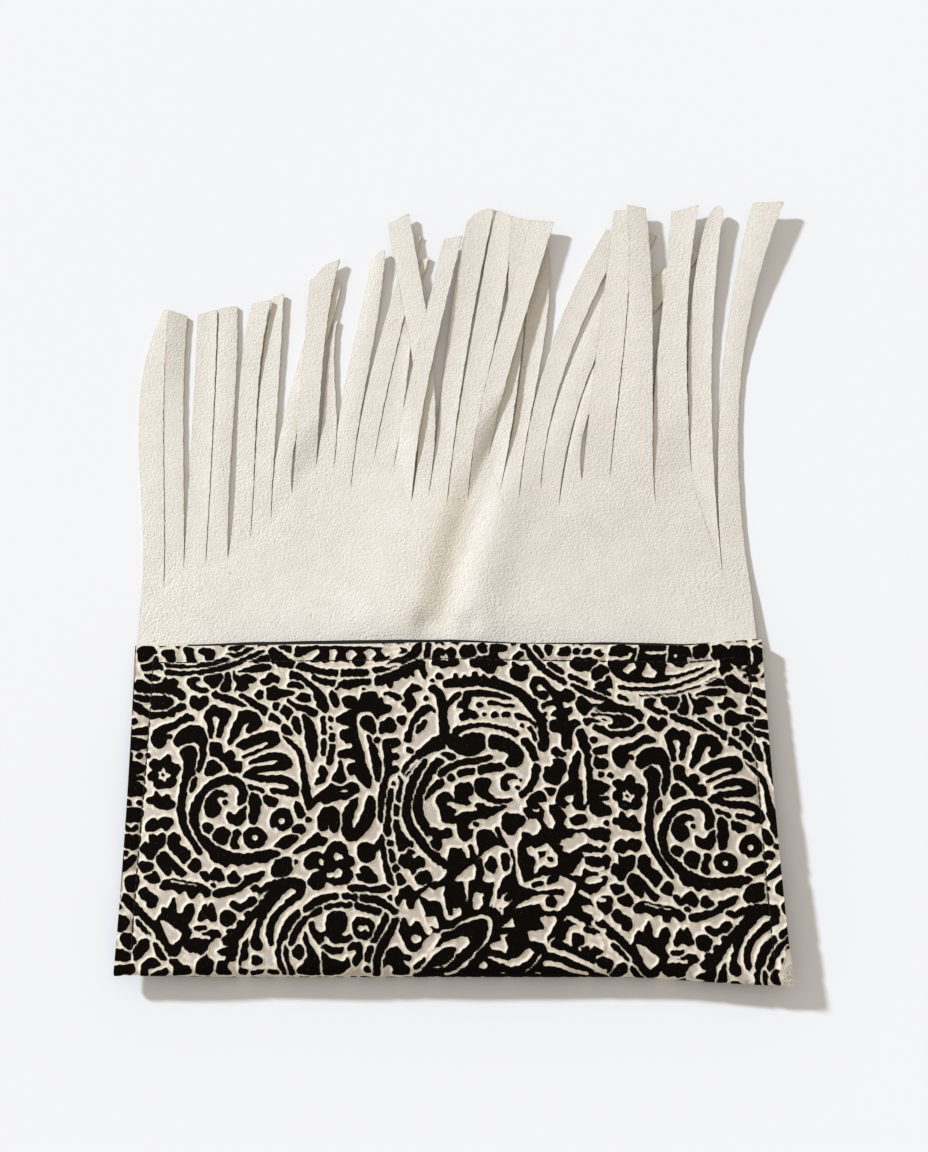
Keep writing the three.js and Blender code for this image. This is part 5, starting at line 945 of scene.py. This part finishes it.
def grained_material(name, low, high, scale, specular=0.2):
    m, t, bsdf = material(name)
    place = t.nodes.new("ShaderNodeTexCoord").outputs["Object"]
    grain = noise(t, scale, 3, 0.6, place)
    t.links.new(mix(t, grain, low, high), bsdf.inputs["Base Color"])
    t.links.new(bump(t, grain, 0.0002, 0.6), bsdf.inputs["Normal"])
    bsdf.inputs["Roughness"].default_value = 0.85
    bsdf.inputs["Specular IOR Level"].default_value = specular
    return m


PRINT = print_material()
SUEDE_TOP = suede_material("suede_nap", (0.733, 0.699, 0.625), (0.777, 0.743, 0.670))
# cut edges darker and warmer than the nap: partly the suede's own cut colour, partly painted shade along the strips'
# edges
SUEDE_CUT = suede_material("suede_cut_edge", (0.46, 0.39, 0.28), (0.59, 0.52, 0.39), cut=True)
LINING_BLACK = grained_material("black_lining", (0.006, 0.006, 0.006), (0.022, 0.021, 0.02), 1800)
FIBRE_PALE = grained_material("pale_fibre", (0.60, 0.55, 0.46), (0.78, 0.73, 0.64), 2200)
THREAD_BLACK = grained_material("black_thread", (0.004, 0.004, 0.004), (0.02, 0.019, 0.018), 3000)

# ---------------------------------------------------------------- printed pouch
FIELD = print_field()


def ink_at(x, y):
    """The print at points of the panel; past the bottom fold it runs on mirrored."""
    y = np.where(y < -72, -144 - y, y)
    fx = np.clip((x - LO[0]) / PITCH, 0, FIELD.shape[1] - 1.001)
    fy = np.clip((y - LO[1]) / PITCH, 0, FIELD.shape[0] - 1.001)
    i, j = fx.astype(int), fy.astype(int)
    fx, fy = fx - i, fy - j
    return ((FIELD[j, i] * (1 - fx) + FIELD[j, i + 1] * fx) * (1 - fy)
            + (FIELD[j + 1, i] * (1 - fx) + FIELD[j + 1, i + 1] * fx) * fy)


PILE = 0.42             # height of the printed pile over the ground between


def relief(f):
    return PILE * (1 - ease(-0.15, 1.35, f))


def stitch_x(side, y):
    """Where the side seams are sewn."""
    t = (y + 67) / 133
    return lerp(-127.0, -124.6, ease(0, 1, t)) if side < 0 else lerp(130.6, 125.7, np.clip(t, 0, 1.1) ** 0.6)


STITCH_DOWN = 7.3       # line of stitches below the mouth


def sewn_in(x, y, u):
    """How far the cloth is drawn in along the stitches."""
    out = 0
    for side in (-1, 1):
        d = x - stitch_x(side, y)
        out = out - 0.5 * bell(d, 0, 1.0) + 0.10 * np.sin(2 * np.pi * y / 3.3) * bell(d, 0, 3.0)
    d = y - (mouth_y(u) - STITCH_DOWN)
    return out - 0.4 * bell(d, 0, 0.9) + 0.06 * np.sin(2 * np.pi * x / 3.3) * bell(d, 0, 3.0)


def front_base(s, v):
    hw = half_width(v)
    x = centre(v) + s * hw
    u = np.clip(s * hw / (hw - SEAM_IN), -1.06, 1.06)
    y = lerp(tangent_y(u), mouth_y(u), v)
    z = front_z(u, v)
    free = 1 - np.minimum(1, np.abs(u)) ** 6
    z = z + free * (0.30 * wave(x, y, 75, 21) + 0.16 * wave(x, y, 28, 22))
    return x, y, z + sewn_in(x, y, u), u


NX, NF, NA = 440, 200, 20
s_cols = np.linspace(-1, 1, NX + 1)
S, V = np.meshgrid(s_cols, np.linspace(1, 0, NF + 1))
fx, fy, fz, fu = front_base(S, V)
front = np.stack([fx, fy, fz], -1)
print_y = [fy]
u0, half0 = fu[-1], fold_half(fu[-1])
mid0 = (front_z(u0, 0.0) + back_z(u0, 0.0)) / 2
arc, arc_y = [], []
drawn = fz[-1] - front_z(u0, 0.0)
for k in range(1, NA + 1):
    a = math.pi * k / NA
    fade = math.cos(a / 2) ** 2
    arc.append(np.stack([fx[-1], fy[-1] - FOLD_ROUND * half0 * math.sin(a), mid0 + half0 * math.cos(a) + drawn * fade], -1))
    arc_y.append(fy[-1] - 0.95 * half0 * a)
base = np.concatenate([front, np.array(arc)])
base_y = np.concatenate([fy, np.array(arc_y)])
out_n = normals_of(base)
ink_front = ink_at(base[..., 0], base_y)
# painted shade: a thin dark line inked down the left side, for the shadow in the gap at the turned edge
for r in range(NF + 1):
    if base_y[r, 0] > -34 and wave(base_y[r, 0], 0.0, 23, 51) > -0.55:
        ink_front[r, 0] = -0.35
# the pile is flattened where the bag lies on it
lift = np.ones(base.shape[:2])
lift[NF + 1 :] = (1 - ease(0.55, 0.85, np.arange(1, NA + 1) / NA))[:, None]
outer = base + out_n * (relief(ink_front) * lift)[..., None]
inner = base - out_n * (WALL - 0.08)
pts, faces, n_outer = walled(outer, inner, 10, 10)
ink_all = np.concatenate([ink_front.ravel(), np.full(len(pts) - n_outer, 0.8)])
front_panel = solid("front_panel", pts, faces, [PRINT], fields={"ink": ink_all})

NXB, NB = 270, 132
S, V = np.meshgrid(np.linspace(-1, 1, NXB + 1), np.linspace(0, 1, NB + 1))
hw = half_width(V)
bx = centre(V) + S * hw
bu = np.clip(S * hw / (hw - SEAM_IN), -1.06, 1.06)
by = lerp(tangent_y(bu), mouth_y(bu), V)
bz = back_z(bu, V) + PILE + 0.05
back = np.stack([bx, by, bz], -1)
back_y = arc_y[-1][0] - (by - by[0])
ink_back = ink_at(bx, back_y)
outer = back - np.array([0, 0, 1.0]) * relief(ink_back)[..., None]
inner = back + np.array([0, 0, 1.0]) * (WALL - PILE - 0.12)
pts, faces, n_outer = walled(outer, inner, 11, 10)
ink_all = np.concatenate([ink_back.ravel(), np.full(len(pts) - n_outer, 0.8)])
back_panel = solid("back_panel", pts, faces, [PRINT], fields={"ink": ink_all})


# ---------------------------------------------------------------- black lining edge
def facing_piece():
    n, reach, deep = 220, 0.88, 12
    u = np.linspace(-reach, reach, n + 1)
    x = centre(1.0) + u * (HALF_WIDTH - SEAM_IN)
    show = 0.4 + np.maximum(0, np.maximum(1.9 * (1 - ((x + 45) / 90) ** 2), 1.3 * (1 - ((x - 72) / 52) ** 2)))
    show = show + 0.12 * wave(x, 0 * x, 30, 31)
    rows = []
    for share in (0, 0.2, 0.4, 0.6, 0.75, 0.86, 0.93, 1.0):
        out = lerp(-deep, show, share)
        v = np.minimum(1, 1 + out / (mouth_y(u) - tangent_y(u)))
        rows.append(np.stack([x, mouth_y(u) + out, front_z(u, v) - WALL - CLEAR], -1))
    top = np.array(rows)
    low = top - np.array([0, 0, LINING])
    i = np.arange(top.shape[0] * top.shape[1]).reshape(top.shape[:2])
    j = i + i.size
    rim = [np.stack([a[:-1], a[1:], b[1:], b[:-1]], -1) for a, b in ((i[0], j[0]), (i[-1], j[-1]), (i[:, 0], j[:, 0]), (i[:, -1], j[:, -1]))]
    return solid("lining_edge", np.vstack([top.reshape(-1, 3), low.reshape(-1, 3)]), [quads(i), quads(j), np.vstack(rim)], [LINING_BLACK])


lining_edge = facing_piece()

# ---------------------------------------------------------------- suede flap and fringe
# where the cuts between the strips end; the first and last are the flap's edges
CUTS = np.array([
    [-131.7, 97.7], [-122.4, 97.7], [-114.4, 106.9], [-105.1, 109.2], [-95.7, 112.0],
    [-86.4, 121.7], [-77.5, 130.2], [-68.9, 142.4], [-58.8, 155.2], [-50.9, 154.2],
    [-43.4, 143.7], [-33.4, 158.4], [-25.0, 153.5], [-16.9, 137.7], [-9.6, 140.1],
    [-1.4, 136.9], [7.7, 139.2], [16.9, 160.2], [21.5, 143.0], [29.9, 138.8],
    [39.5, 143.8], [47.2, 136.9], [57.5, 148.8], [69.7, 149.9], [89.4, 137.2],
    [105.6, 151.4], [117.1, 104.6], [128.7, 98.4],
])
# one row per strip: tip left x, y, tip right x, y, bend of the left edge at a
# third and two thirds, of the right edge likewise, top height mid, left, right
STRIPS = [
    [-129.0, 232.0, -125.9, 231.0, -3.8, -7.6, -1.0, -1.9, 1.4, 1.4, 1.4],
    [-126.8, 230.9, -118.4, 228.9, -0.5, -1.6, -0.6, -1.2, 1.4, 3.2, 1.5],
    [-113.7, 229.4, -105.0, 232.0, 0.1, 0.3, 0.3, 0.4, 1.4, 1.4, 1.4],
    [-104.3, 232.5, -96.2, 234.0, 0.4, 0.4, -0.4, 0.6, 1.6, 1.4, 1.4],
    [-89.2, 234.1, -80.7, 236.1, -0.2, -2.3, -1.3, -2.5, 1.5, 3.0, 3.2],
    [-80.0, 238.5, -75.4, 239.9, -1.1, -2.2, -0.3, 0.0, 1.4, 1.4, 1.6],
    [-60.2, 244.1, -49.7, 245.6, -3.6, -1.8, -4.0, -0.9, 1.4, 1.4, 1.4],
    [-63.4, 246.2, -50.3, 256.8, 0.0, -0.2, -1.6, -2.4, 3.2, 3.1, 3.0],
    [-52.3, 225.4, -50.9, 226.9, 0.2, -0.5, 0.7, -0.9, 1.4, 1.4, 1.4],
    [-35.7, 257.2, -29.8, 261.8, -2.0, -1.0, -0.5, 0.8, 1.5, 2.2, 2.6],
    [-17.7, 267.6, -13.6, 269.7, -3.6, -3.3, -0.7, 0.1, 1.4, 1.4, 1.4],
    [-13.1, 257.3, -9.9, 258.9, -1.2, -1.3, -0.2, -1.7, 1.4, 1.4, 1.4],
    [-3.1, 266.3, 5.2, 268.1, -1.2, -0.8, -2.6, -1.9, 5.0, 4.5, 4.4],
    [-28.5, 275.0, -19.2, 280.3, 6.2, 4.0, 6.0, 4.5, 3.2, 3.2, 3.1],
    [7.4, 275.2, 19.8, 282.1, -0.6, -1.4, -1.9, -1.9, 1.6, 3.8, 3.4],
    [19.9, 281.7, 27.2, 280.2, -1.3, -0.8, -0.2, 2.4, 1.6, 3.0, 3.0],
    [36.5, 275.9, 46.9, 274.8, -3.3, -2.4, -1.3, -0.8, 5.2, 5.0, 5.2],
    [27.3, 279.2, 36.6, 276.6, 3.1, 2.0, 2.4, 2.2, 3.1, 2.9, 2.9],
    [36.1, 263.5, 44.5, 263.5, 2.6, 2.3, 0.8, 3.0, 1.4, 1.4, 1.4],
    [71.2, 273.0, 79.0, 268.6, -7.0, -7.3, -6.7, -5.9, 1.4, 1.4, 1.4],
    [84.1, 272.3, 94.1, 269.7, -7.2, -5.6, -7.3, -6.5, 1.4, 1.4, 1.4],
    [109.9, 265.3, 113.3, 259.4, -12.4, -15.5, -12.8, -9.2, 1.4, 1.4, 1.4],
    [74.8, 281.4, 81.3, 282.0, -0.4, -0.3, 1.3, 2.6, 3.2, 3.6, 3.8],
    [80.6, 283.3, 89.0, 282.1, 2.0, 3.0, 0.0, 1.4, 4.65, 5.8, 4.8],
    [101.0, 281.1, 113.4, 283.8, -3.4, -1.8, -3.3, -3.7, 3.2, 4.0, 4.4],
    [118.6, 283.6, 124.7, 283.1, -4.4, -5.2, -4.5, -4.6, 2.0, 4.2, 4.3],
    [137.8, 284.4, 152.2, 284.6, -6.4, -6.3, -10.3, -11.2, 1.5, 5.6, 6.2],
]
# how far along the strips they come down from the flap, where not 0.3
COME_DOWN = {7: 0.26, 14: 0.5, 15: 0.5}
EDGES = [[(CUTS[i], np.array(r[0:2]), r[4], r[5], r[8], r[9], COME_DOWN.get(i, 0.3)),
          (CUTS[i + 1], np.array(r[2:4]), r[6], r[7], r[8], r[10], COME_DOWN.get(i, 0.3))] for i, r in enumerate(STRIPS)]
SLIT_GAP, SLIT_TAPER, CROSSED = 0.3, 0.05, 2.5
# tips that aren't cut straight: share across, then how far past the straight cut
TIPS = {
    7: ([0, 0.18, 0.30, 0.55, 1], [0, -0.8, 1.3, 2.1, 0]),
    9: ([0, 0.4, 0.8, 1], [0, 0.7, 0.6, 0]),
    14: ([0, 0.22, 0.55, 0.8, 1], [0, 2.4, 2.9, 1.9, 0]),
    15: ([0, 0.4, 0.8, 1], [0.2, 0.5, -0.7, -0.6]),
    24: ([0, 0.3, 0.7, 1], [0, -0.5, -0.2, 0.3]),
    25: ([0, 0.15, 0.3, 0.5, 0.7, 0.85, 1], [-3.8, -2.0, -0.9, 0, 0.3, -0.3, -2.0]),
    26: ([0, 0.2, 0.5, 0.8, 1], [-0.6, 0.3, -0.2, 0.2, 0]),
}


def edge_share(e, y):
    return (y - e[0][1]) / (e[1][1] - e[0][1])


def edge_drawn(e, y):
    t = edge_share(e, y)
    return lerp(e[0][0], e[1][0], t) + 13.5 * t * (1 - t) * (e[2] * (2 / 3 - t) + e[3] * (t - 1 / 3))


def edge_height(e, t):
    if t < e[6]:
        y = lerp(e[0][1], e[1][1], t)
        return float(lerp(flap_z(edge_drawn(e, y), y), e[4], ease(0, e[6], t)))
    return float(lerp(e[4], e[5], ease(0.5, 1, t)))


def edge_x(i, side, y):
    e = EDGES[i][side]
    x = edge_drawn(e, y)
    j = i + (1 if side else -1)
    if not 0 <= j < len(EDGES):
        return x
    other = EDGES[j][1 - side]
    t = edge_share(other, y)
    if not 0 < t < 1:
        return x
    apart = abs(edge_height(e, edge_share(e, y)) - edge_height(other, t))
    theirs = edge_drawn(other, y)
    over = x - theirs if side else theirs - x
    if apart >= SUEDE + CLEAR or over > CROSSED:
        return x
    gap = min(SLIT_GAP, SLIT_TAPER * (y - e[0][1]))
    middle = (x + theirs) / 2
    return min(x, middle - gap / 2) if side else max(x, middle + gap / 2)


def flap_piece():
    NC, NBODY, NSTRIP, NT = 8, 44, 96, 5
    n = len(EDGES)
    g = np.random.default_rng(12)
    pts, rim, cells = [], [], []
    cols = np.arange(n * NC + 1)
    gx = lerp(FLAP_LEFT, FLAP_RIGHT, cols / (n * NC))
    start = mouth_y(seam_share(gx)) + CLEAR
    cx = np.interp(cols / NC, np.arange(n + 1), CUTS[:, 0])
    cy = np.interp(cols / NC, np.arange(n + 1), CUTS[:, 1])
    r = np.linspace(0, 1, NBODY + 1)[:, None]
    bx, by = lerp(gx, cx, r), lerp(start, cy, r)
    bz = flap_z(bx, by) + 0.12 * (1 + wave(bx, by, 33, 41)) * ease(75, 90, by) * (1 - ease(0.9, 1, np.broadcast_to(r, bx.shape)))
    body = np.stack([bx, by, bz], -1)
    index = np.arange(body.shape[0] * body.shape[1]).reshape(body.shape[:2])
    pts.append(body.reshape(-1, 3))
    side = np.minimum(np.abs(bx - bx[:, :1]), np.abs(bx - bx[:, -1:]))
    rim.append(side.ravel())
    cells.append(quads(index[::-1]))
    count = index.size
    # the part tucked into the mouth
    tucked = np.where(np.abs(seam_share(gx)) < TONGUE_SHARE)[0]
    tt = np.linspace(0, 1, NT + 1)[1:, None]
    ty = start[tucked] - TONGUE_IN * tt
    tx = np.broadcast_to(gx[tucked], ty.shape)
    tongue = np.stack([tx, ty, flap_z(tx, ty)], -1)
    ti = np.vstack([index[0, tucked], count + np.arange(tongue.shape[0] * tongue.shape[1]).reshape(tongue.shape[:2])])
    pts.append(tongue.reshape(-1, 3))
    rim.append(np.full(tongue.shape[0] * tongue.shape[1], 9.0))
    cells.append(quads(ti))
    count += tongue.shape[0] * tongue.shape[1]
    # strips
    across = np.linspace(0, 1, NC + 1)
    for i, pair in enumerate(EDGES):
        cup, roll, phase, wob = g.uniform(-0.22, 0.22), g.uniform(-0.12, 0.12), g.uniform(0, 6.28), g.uniform(0, 50)
        rows = []
        for k in range(1, NSTRIP + 1):
            t = k / NSTRIP
            ends = []
            for sd, e in enumerate(pair):
                y = lerp(e[0][1], e[1][1], t)
                ends.append(np.array([edge_x(i, sd, y), y, edge_height(e, t)]))
            p = ends[0] + (ends[1] - ends[0]) * across[:, None]
            if i in TIPS:
                length = np.linalg.norm(CUTS[i] - pair[0][1])
                p[:, 1] += ease(1 - 9 / length, 1, t) * np.interp(across, *TIPS[i])
            c = 2 * across - 1
            free = ease(0, 0.25, t)
            under = flap_z(p[:, 0], p[:, 1])
            p[:, 2] += (under - lerp(under[0], under[-1], across)) * (1 - ease(0, 0.3, t))
            p[:, 2] += free * (max(cup, 0) * c**2 - min(cup, 0) * (1 - c**2) + roll * c + abs(roll) + 0.05 * (1 + math.sin(9 * t + phase)))
            cutting = 0.10 * math.sin(0.55 * p[0, 1] + wob) + 0.06 * math.sin(1.7 * p[0, 1] + 2 * wob)
            p[0, 0] += cutting * 0.6 * free
            p[-1, 0] -= cutting * free
            rows.append(p)
        rows = np.array(rows)
        si = np.vstack([index[-1, i * NC : (i + 1) * NC + 1], count + np.arange(rows.shape[0] * rows.shape[1]).reshape(rows.shape[:2])])
        pts.append(rows.reshape(-1, 3))
        w = np.linalg.norm(rows[:, -1] - rows[:, 0], axis=1)[:, None]
        d = np.minimum(across, 1 - across) * w
        length = np.linalg.norm(CUTS[i] - pair[0][1])
        d = np.minimum(d, (1 - np.arange(1, NSTRIP + 1)[:, None] / NSTRIP) * length)
        rim.append(d.ravel())
        cells.append(quads(si[::-1]))
        count += rows.shape[0] * rows.shape[1]
    top = np.vstack(pts)
    cells = np.vstack(cells)
    low = top - np.array([0, 0, SUEDE])
    edges = np.concatenate([cells[:, [a, (a + 1) % 4]] for a in range(4)])
    key = np.sort(edges, axis=1)
    _, first, times = np.unique(key, axis=0, return_index=True, return_counts=True)
    rim_edges = edges[first[times == 1]]
    n_top = len(top)
    walls = np.stack([rim_edges[:, 0], rim_edges[:, 0] + n_top, rim_edges[:, 1] + n_top, rim_edges[:, 1]], -1)
    faces = [cells, cells[:, ::-1] + n_top, walls]
    slots = np.concatenate([np.zeros(2 * len(cells)), np.ones(len(walls))])
    return solid("suede_flap", np.vstack([top, low]), faces, [SUEDE_TOP, SUEDE_CUT], slots, {"rim": np.tile(np.concatenate(rim), 2)})


suede_flap = flap_piece()


# ---------------------------------------------------------------- stitches
def cloth_z(x, y):
    v = np.clip((y - tangent_y(0.0)) / (mouth_y(0.0) - tangent_y(0.0)), 0, 1)
    for _ in range(3):
        hw = half_width(v)
        u = np.clip((x - centre(v)) / (hw - SEAM_IN), -1.06, 1.06)
        v = np.clip((y - tangent_y(u)) / (mouth_y(u) - tangent_y(u)), 0, 1)
    s = (x - centre(v)) / half_width(v)
    return front_base(s, v)[2]


def stitches(name, path, length=3.3, gap=0.12, thick=0.30):
    """Thread laid along a path, one short rounded stitch after another."""
    path = np.asarray(path, float)
    along = np.concatenate([[0], np.cumsum(np.linalg.norm(np.diff(path, axis=0), axis=1))])
    pts, faces = [], []
    rings, sides = 7, 7
    for s0 in np.arange(0.4, along[-1] - length, length + gap):
        t = np.linspace(0, 1, rings)
        at = np.stack([np.interp(s0 + t * length, along, path[:, k]) for k in range(2)], 1)
        d = at[-1] - at[0]
        d = d / np.linalg.norm(d)
        z = cloth_z(at[:, 0], at[:, 1])
        lift = 0.22 * np.sin(np.pi * t) ** 0.6 + 0.10
        r = thick * (0.70 + 0.30 * np.sin(np.pi * t) ** 0.5)
        n0 = sum(len(p) for p in pts)
        ring = []
        for q, zz, rr, up in zip(at, z, r, lift):
            a = np.linspace(0, 2 * np.pi, sides, endpoint=False)
            ring.append(np.stack([q[0] - d[1] * rr * np.cos(a), q[1] + d[0] * rr * np.cos(a), zz + up + rr * np.sin(a)], -1))
        ring = np.array(ring)
        pts.append(ring.reshape(-1, 3))
        idx = n0 + np.arange(rings * sides).reshape(rings, sides)
        idx2 = np.concatenate([idx, idx[:, :1]], axis=1)
        faces.append(quads(idx2))
        caps = np.stack([np.full(sides - 2, 0), np.arange(1, sides - 1), np.arange(2, sides)], -1)
        faces.append(n0 + caps)
        faces.append(n0 + (rings - 1) * sides + caps[:, ::-1])
    return solid(name, np.vstack(pts), faces, [THREAD_BLACK])


ys = np.linspace(66.0, -64.0, 120)
stitch_left = stitches("stitches_left", np.stack([[float(stitch_x(-1, y)) for y in ys], ys], 1))
stitch_right = stitches("stitches_right", np.stack([[float(stitch_x(1, y)) for y in ys], ys], 1))
xs = np.linspace(-122.5, 123.5, 200)
stitch_mouth = stitches("stitches_mouth", np.stack([xs, mouth_y(seam_share(xs)) - STITCH_DOWN], 1))

# ---------------------------------------------------------------- frayed corner
def frayed_piece():
    """Pale fibres teased out of the bottom right corner."""
    g = np.random.default_rng(61)
    pts, faces, n0 = [], [], 0
    for _ in range(420):
        k = g.uniform() ** 0.7
        root = np.array([lerp(131.5, 136.6, k) - g.uniform(0, 1.2), -70.3 + g.uniform(0, 1) ** 1.6 * 11.5 * k, 0])
        root[2] = float(cloth_z(root[0], max(root[1], -68.5))) - g.uniform(0, 3.2) * (root[1] < -68) + 0.05
        way = np.array([g.normal(0.55, 0.7), g.normal(-0.35, 0.7), g.normal(0.25, 0.35)])
        way = way / np.linalg.norm(way) * g.uniform(0.8, 2.0)
        bend = g.normal(0, 0.35, 3)
        t = np.linspace(0, 1, 5)[:, None]
        path = root + way * t + bend * t**2
        path[:, 2] = np.maximum(path[:, 2], 0.15)
        side = np.cross(way, [0, 0, 1.0])
        side = side / max(np.linalg.norm(side), 1e-6)
        up = np.cross(side, way)
        up = up / np.linalg.norm(up)
        r = (0.075 * (1 - 0.7 * t))[:, :, None]
        a = np.linspace(0, 2 * np.pi, 3, endpoint=False)[None, :, None]
        ring = path[:, None, :] + r * (np.cos(a) * side + np.sin(a) * up)
        pts.append(ring.reshape(-1, 3))
        idx = n0 + np.arange(15).reshape(5, 3)
        faces.append(quads(np.concatenate([idx, idx[:, :1]], axis=1)))
        faces.append(np.array([idx[0], idx[-1][::-1]]))
        n0 += 15
    return solid("frayed_corner", np.vstack(pts), faces, [FIBRE_PALE])


frayed_corner = frayed_piece()

# ---------------------------------------------------------------- belonging
for piece, slot in ((front_panel, "print"), (back_panel, "print"), (lining_edge, "lining"), (suede_flap, "suede"),
                    (stitch_left, "lining"), (stitch_right, "lining"), (stitch_mouth, "lining"), (frayed_corner, "print")):
    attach(piece, "root")
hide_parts("pouch_shell")
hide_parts("mouth_facing")
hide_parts("flap")

# ---------------------------------------------------------------- floor, light, camera
floor_mat, ft, fb = material("pale_floor")
fplace = ft.nodes.new("ShaderNodeTexCoord").outputs["Object"]
ft.links.new(mix(ft, noise(ft, 3.0, 2, 0.5, fplace), (0.795, 0.80, 0.805), (0.805, 0.81, 0.815)), fb.inputs["Base Color"])
fb.inputs["Roughness"].default_value = 0.9
fb.inputs["Specular IOR Level"].default_value = 0.0
floor_mesh = bpy.data.meshes.new("floor")
floor_mesh.from_pydata([(-15, -15, -0.00005), (15, -15, -0.00005), (15, 15, -0.00005), (-15, 15, -0.00005)], [], [(0, 1, 2, 3)])
floor_mesh.materials.append(floor_mat)
floor = bpy.data.objects.new("floor", floor_mesh)
bpy.context.scene.collection.objects.link(floor)

world = bpy.data.worlds.new("studio")
bpy.context.scene.world = world
world.use_nodes = True
back_light = world.node_tree.nodes["Background"]
back_light.inputs["Color"].default_value = (1.0, 0.93, 0.845, 1.0)
back_light.inputs["Strength"].default_value = 0.61

sun = bpy.data.lights.new("key", "SUN")
sun.energy = 4.336
sun.color = (0.837, 0.897, 1.0)
sun.angle = math.radians(4.5)
sun_obj = bpy.data.objects.new("key", sun)
bpy.context.scene.collection.objects.link(sun_obj)
TO_LIGHT = np.array([-1.62, 1.05, 1.0])
TO_LIGHT = TO_LIGHT / np.linalg.norm(TO_LIGHT)
sun_obj.rotation_mode = "QUATERNION"
from mathutils import Vector
sun_obj.rotation_quaternion = Vector([float(c) for c in TO_LIGHT]).to_track_quat("Z", "Y")

# the photograph's frame is 928 x 1152
FRAME_W, FRAME_H, FOCAL_PX = 928, 1152, 2070.0
cam = bpy.data.cameras.new("camera")
cam.sensor_fit = "VERTICAL"
cam.sensor_height = 24.0
cam.lens = 24.0 * FOCAL_PX / FRAME_H
cam.clip_start, cam.clip_end = 0.01, 50.0
cam_obj = bpy.data.objects.new("camera", cam)
bpy.context.scene.collection.objects.link(cam_obj)
EYE, AIM = Vector((0.006, -0.1994, 0.8363)), Vector((0.006, 0.105, 0.0))
cam_obj.location = EYE
cam_obj.rotation_mode = "QUATERNION"
cam_obj.rotation_quaternion = (AIM - EYE).to_track_quat("-Z", "Y")
bpy.context.scene.camera = cam_obj
bpy.context.scene.view_settings.view_transform = "Standard"
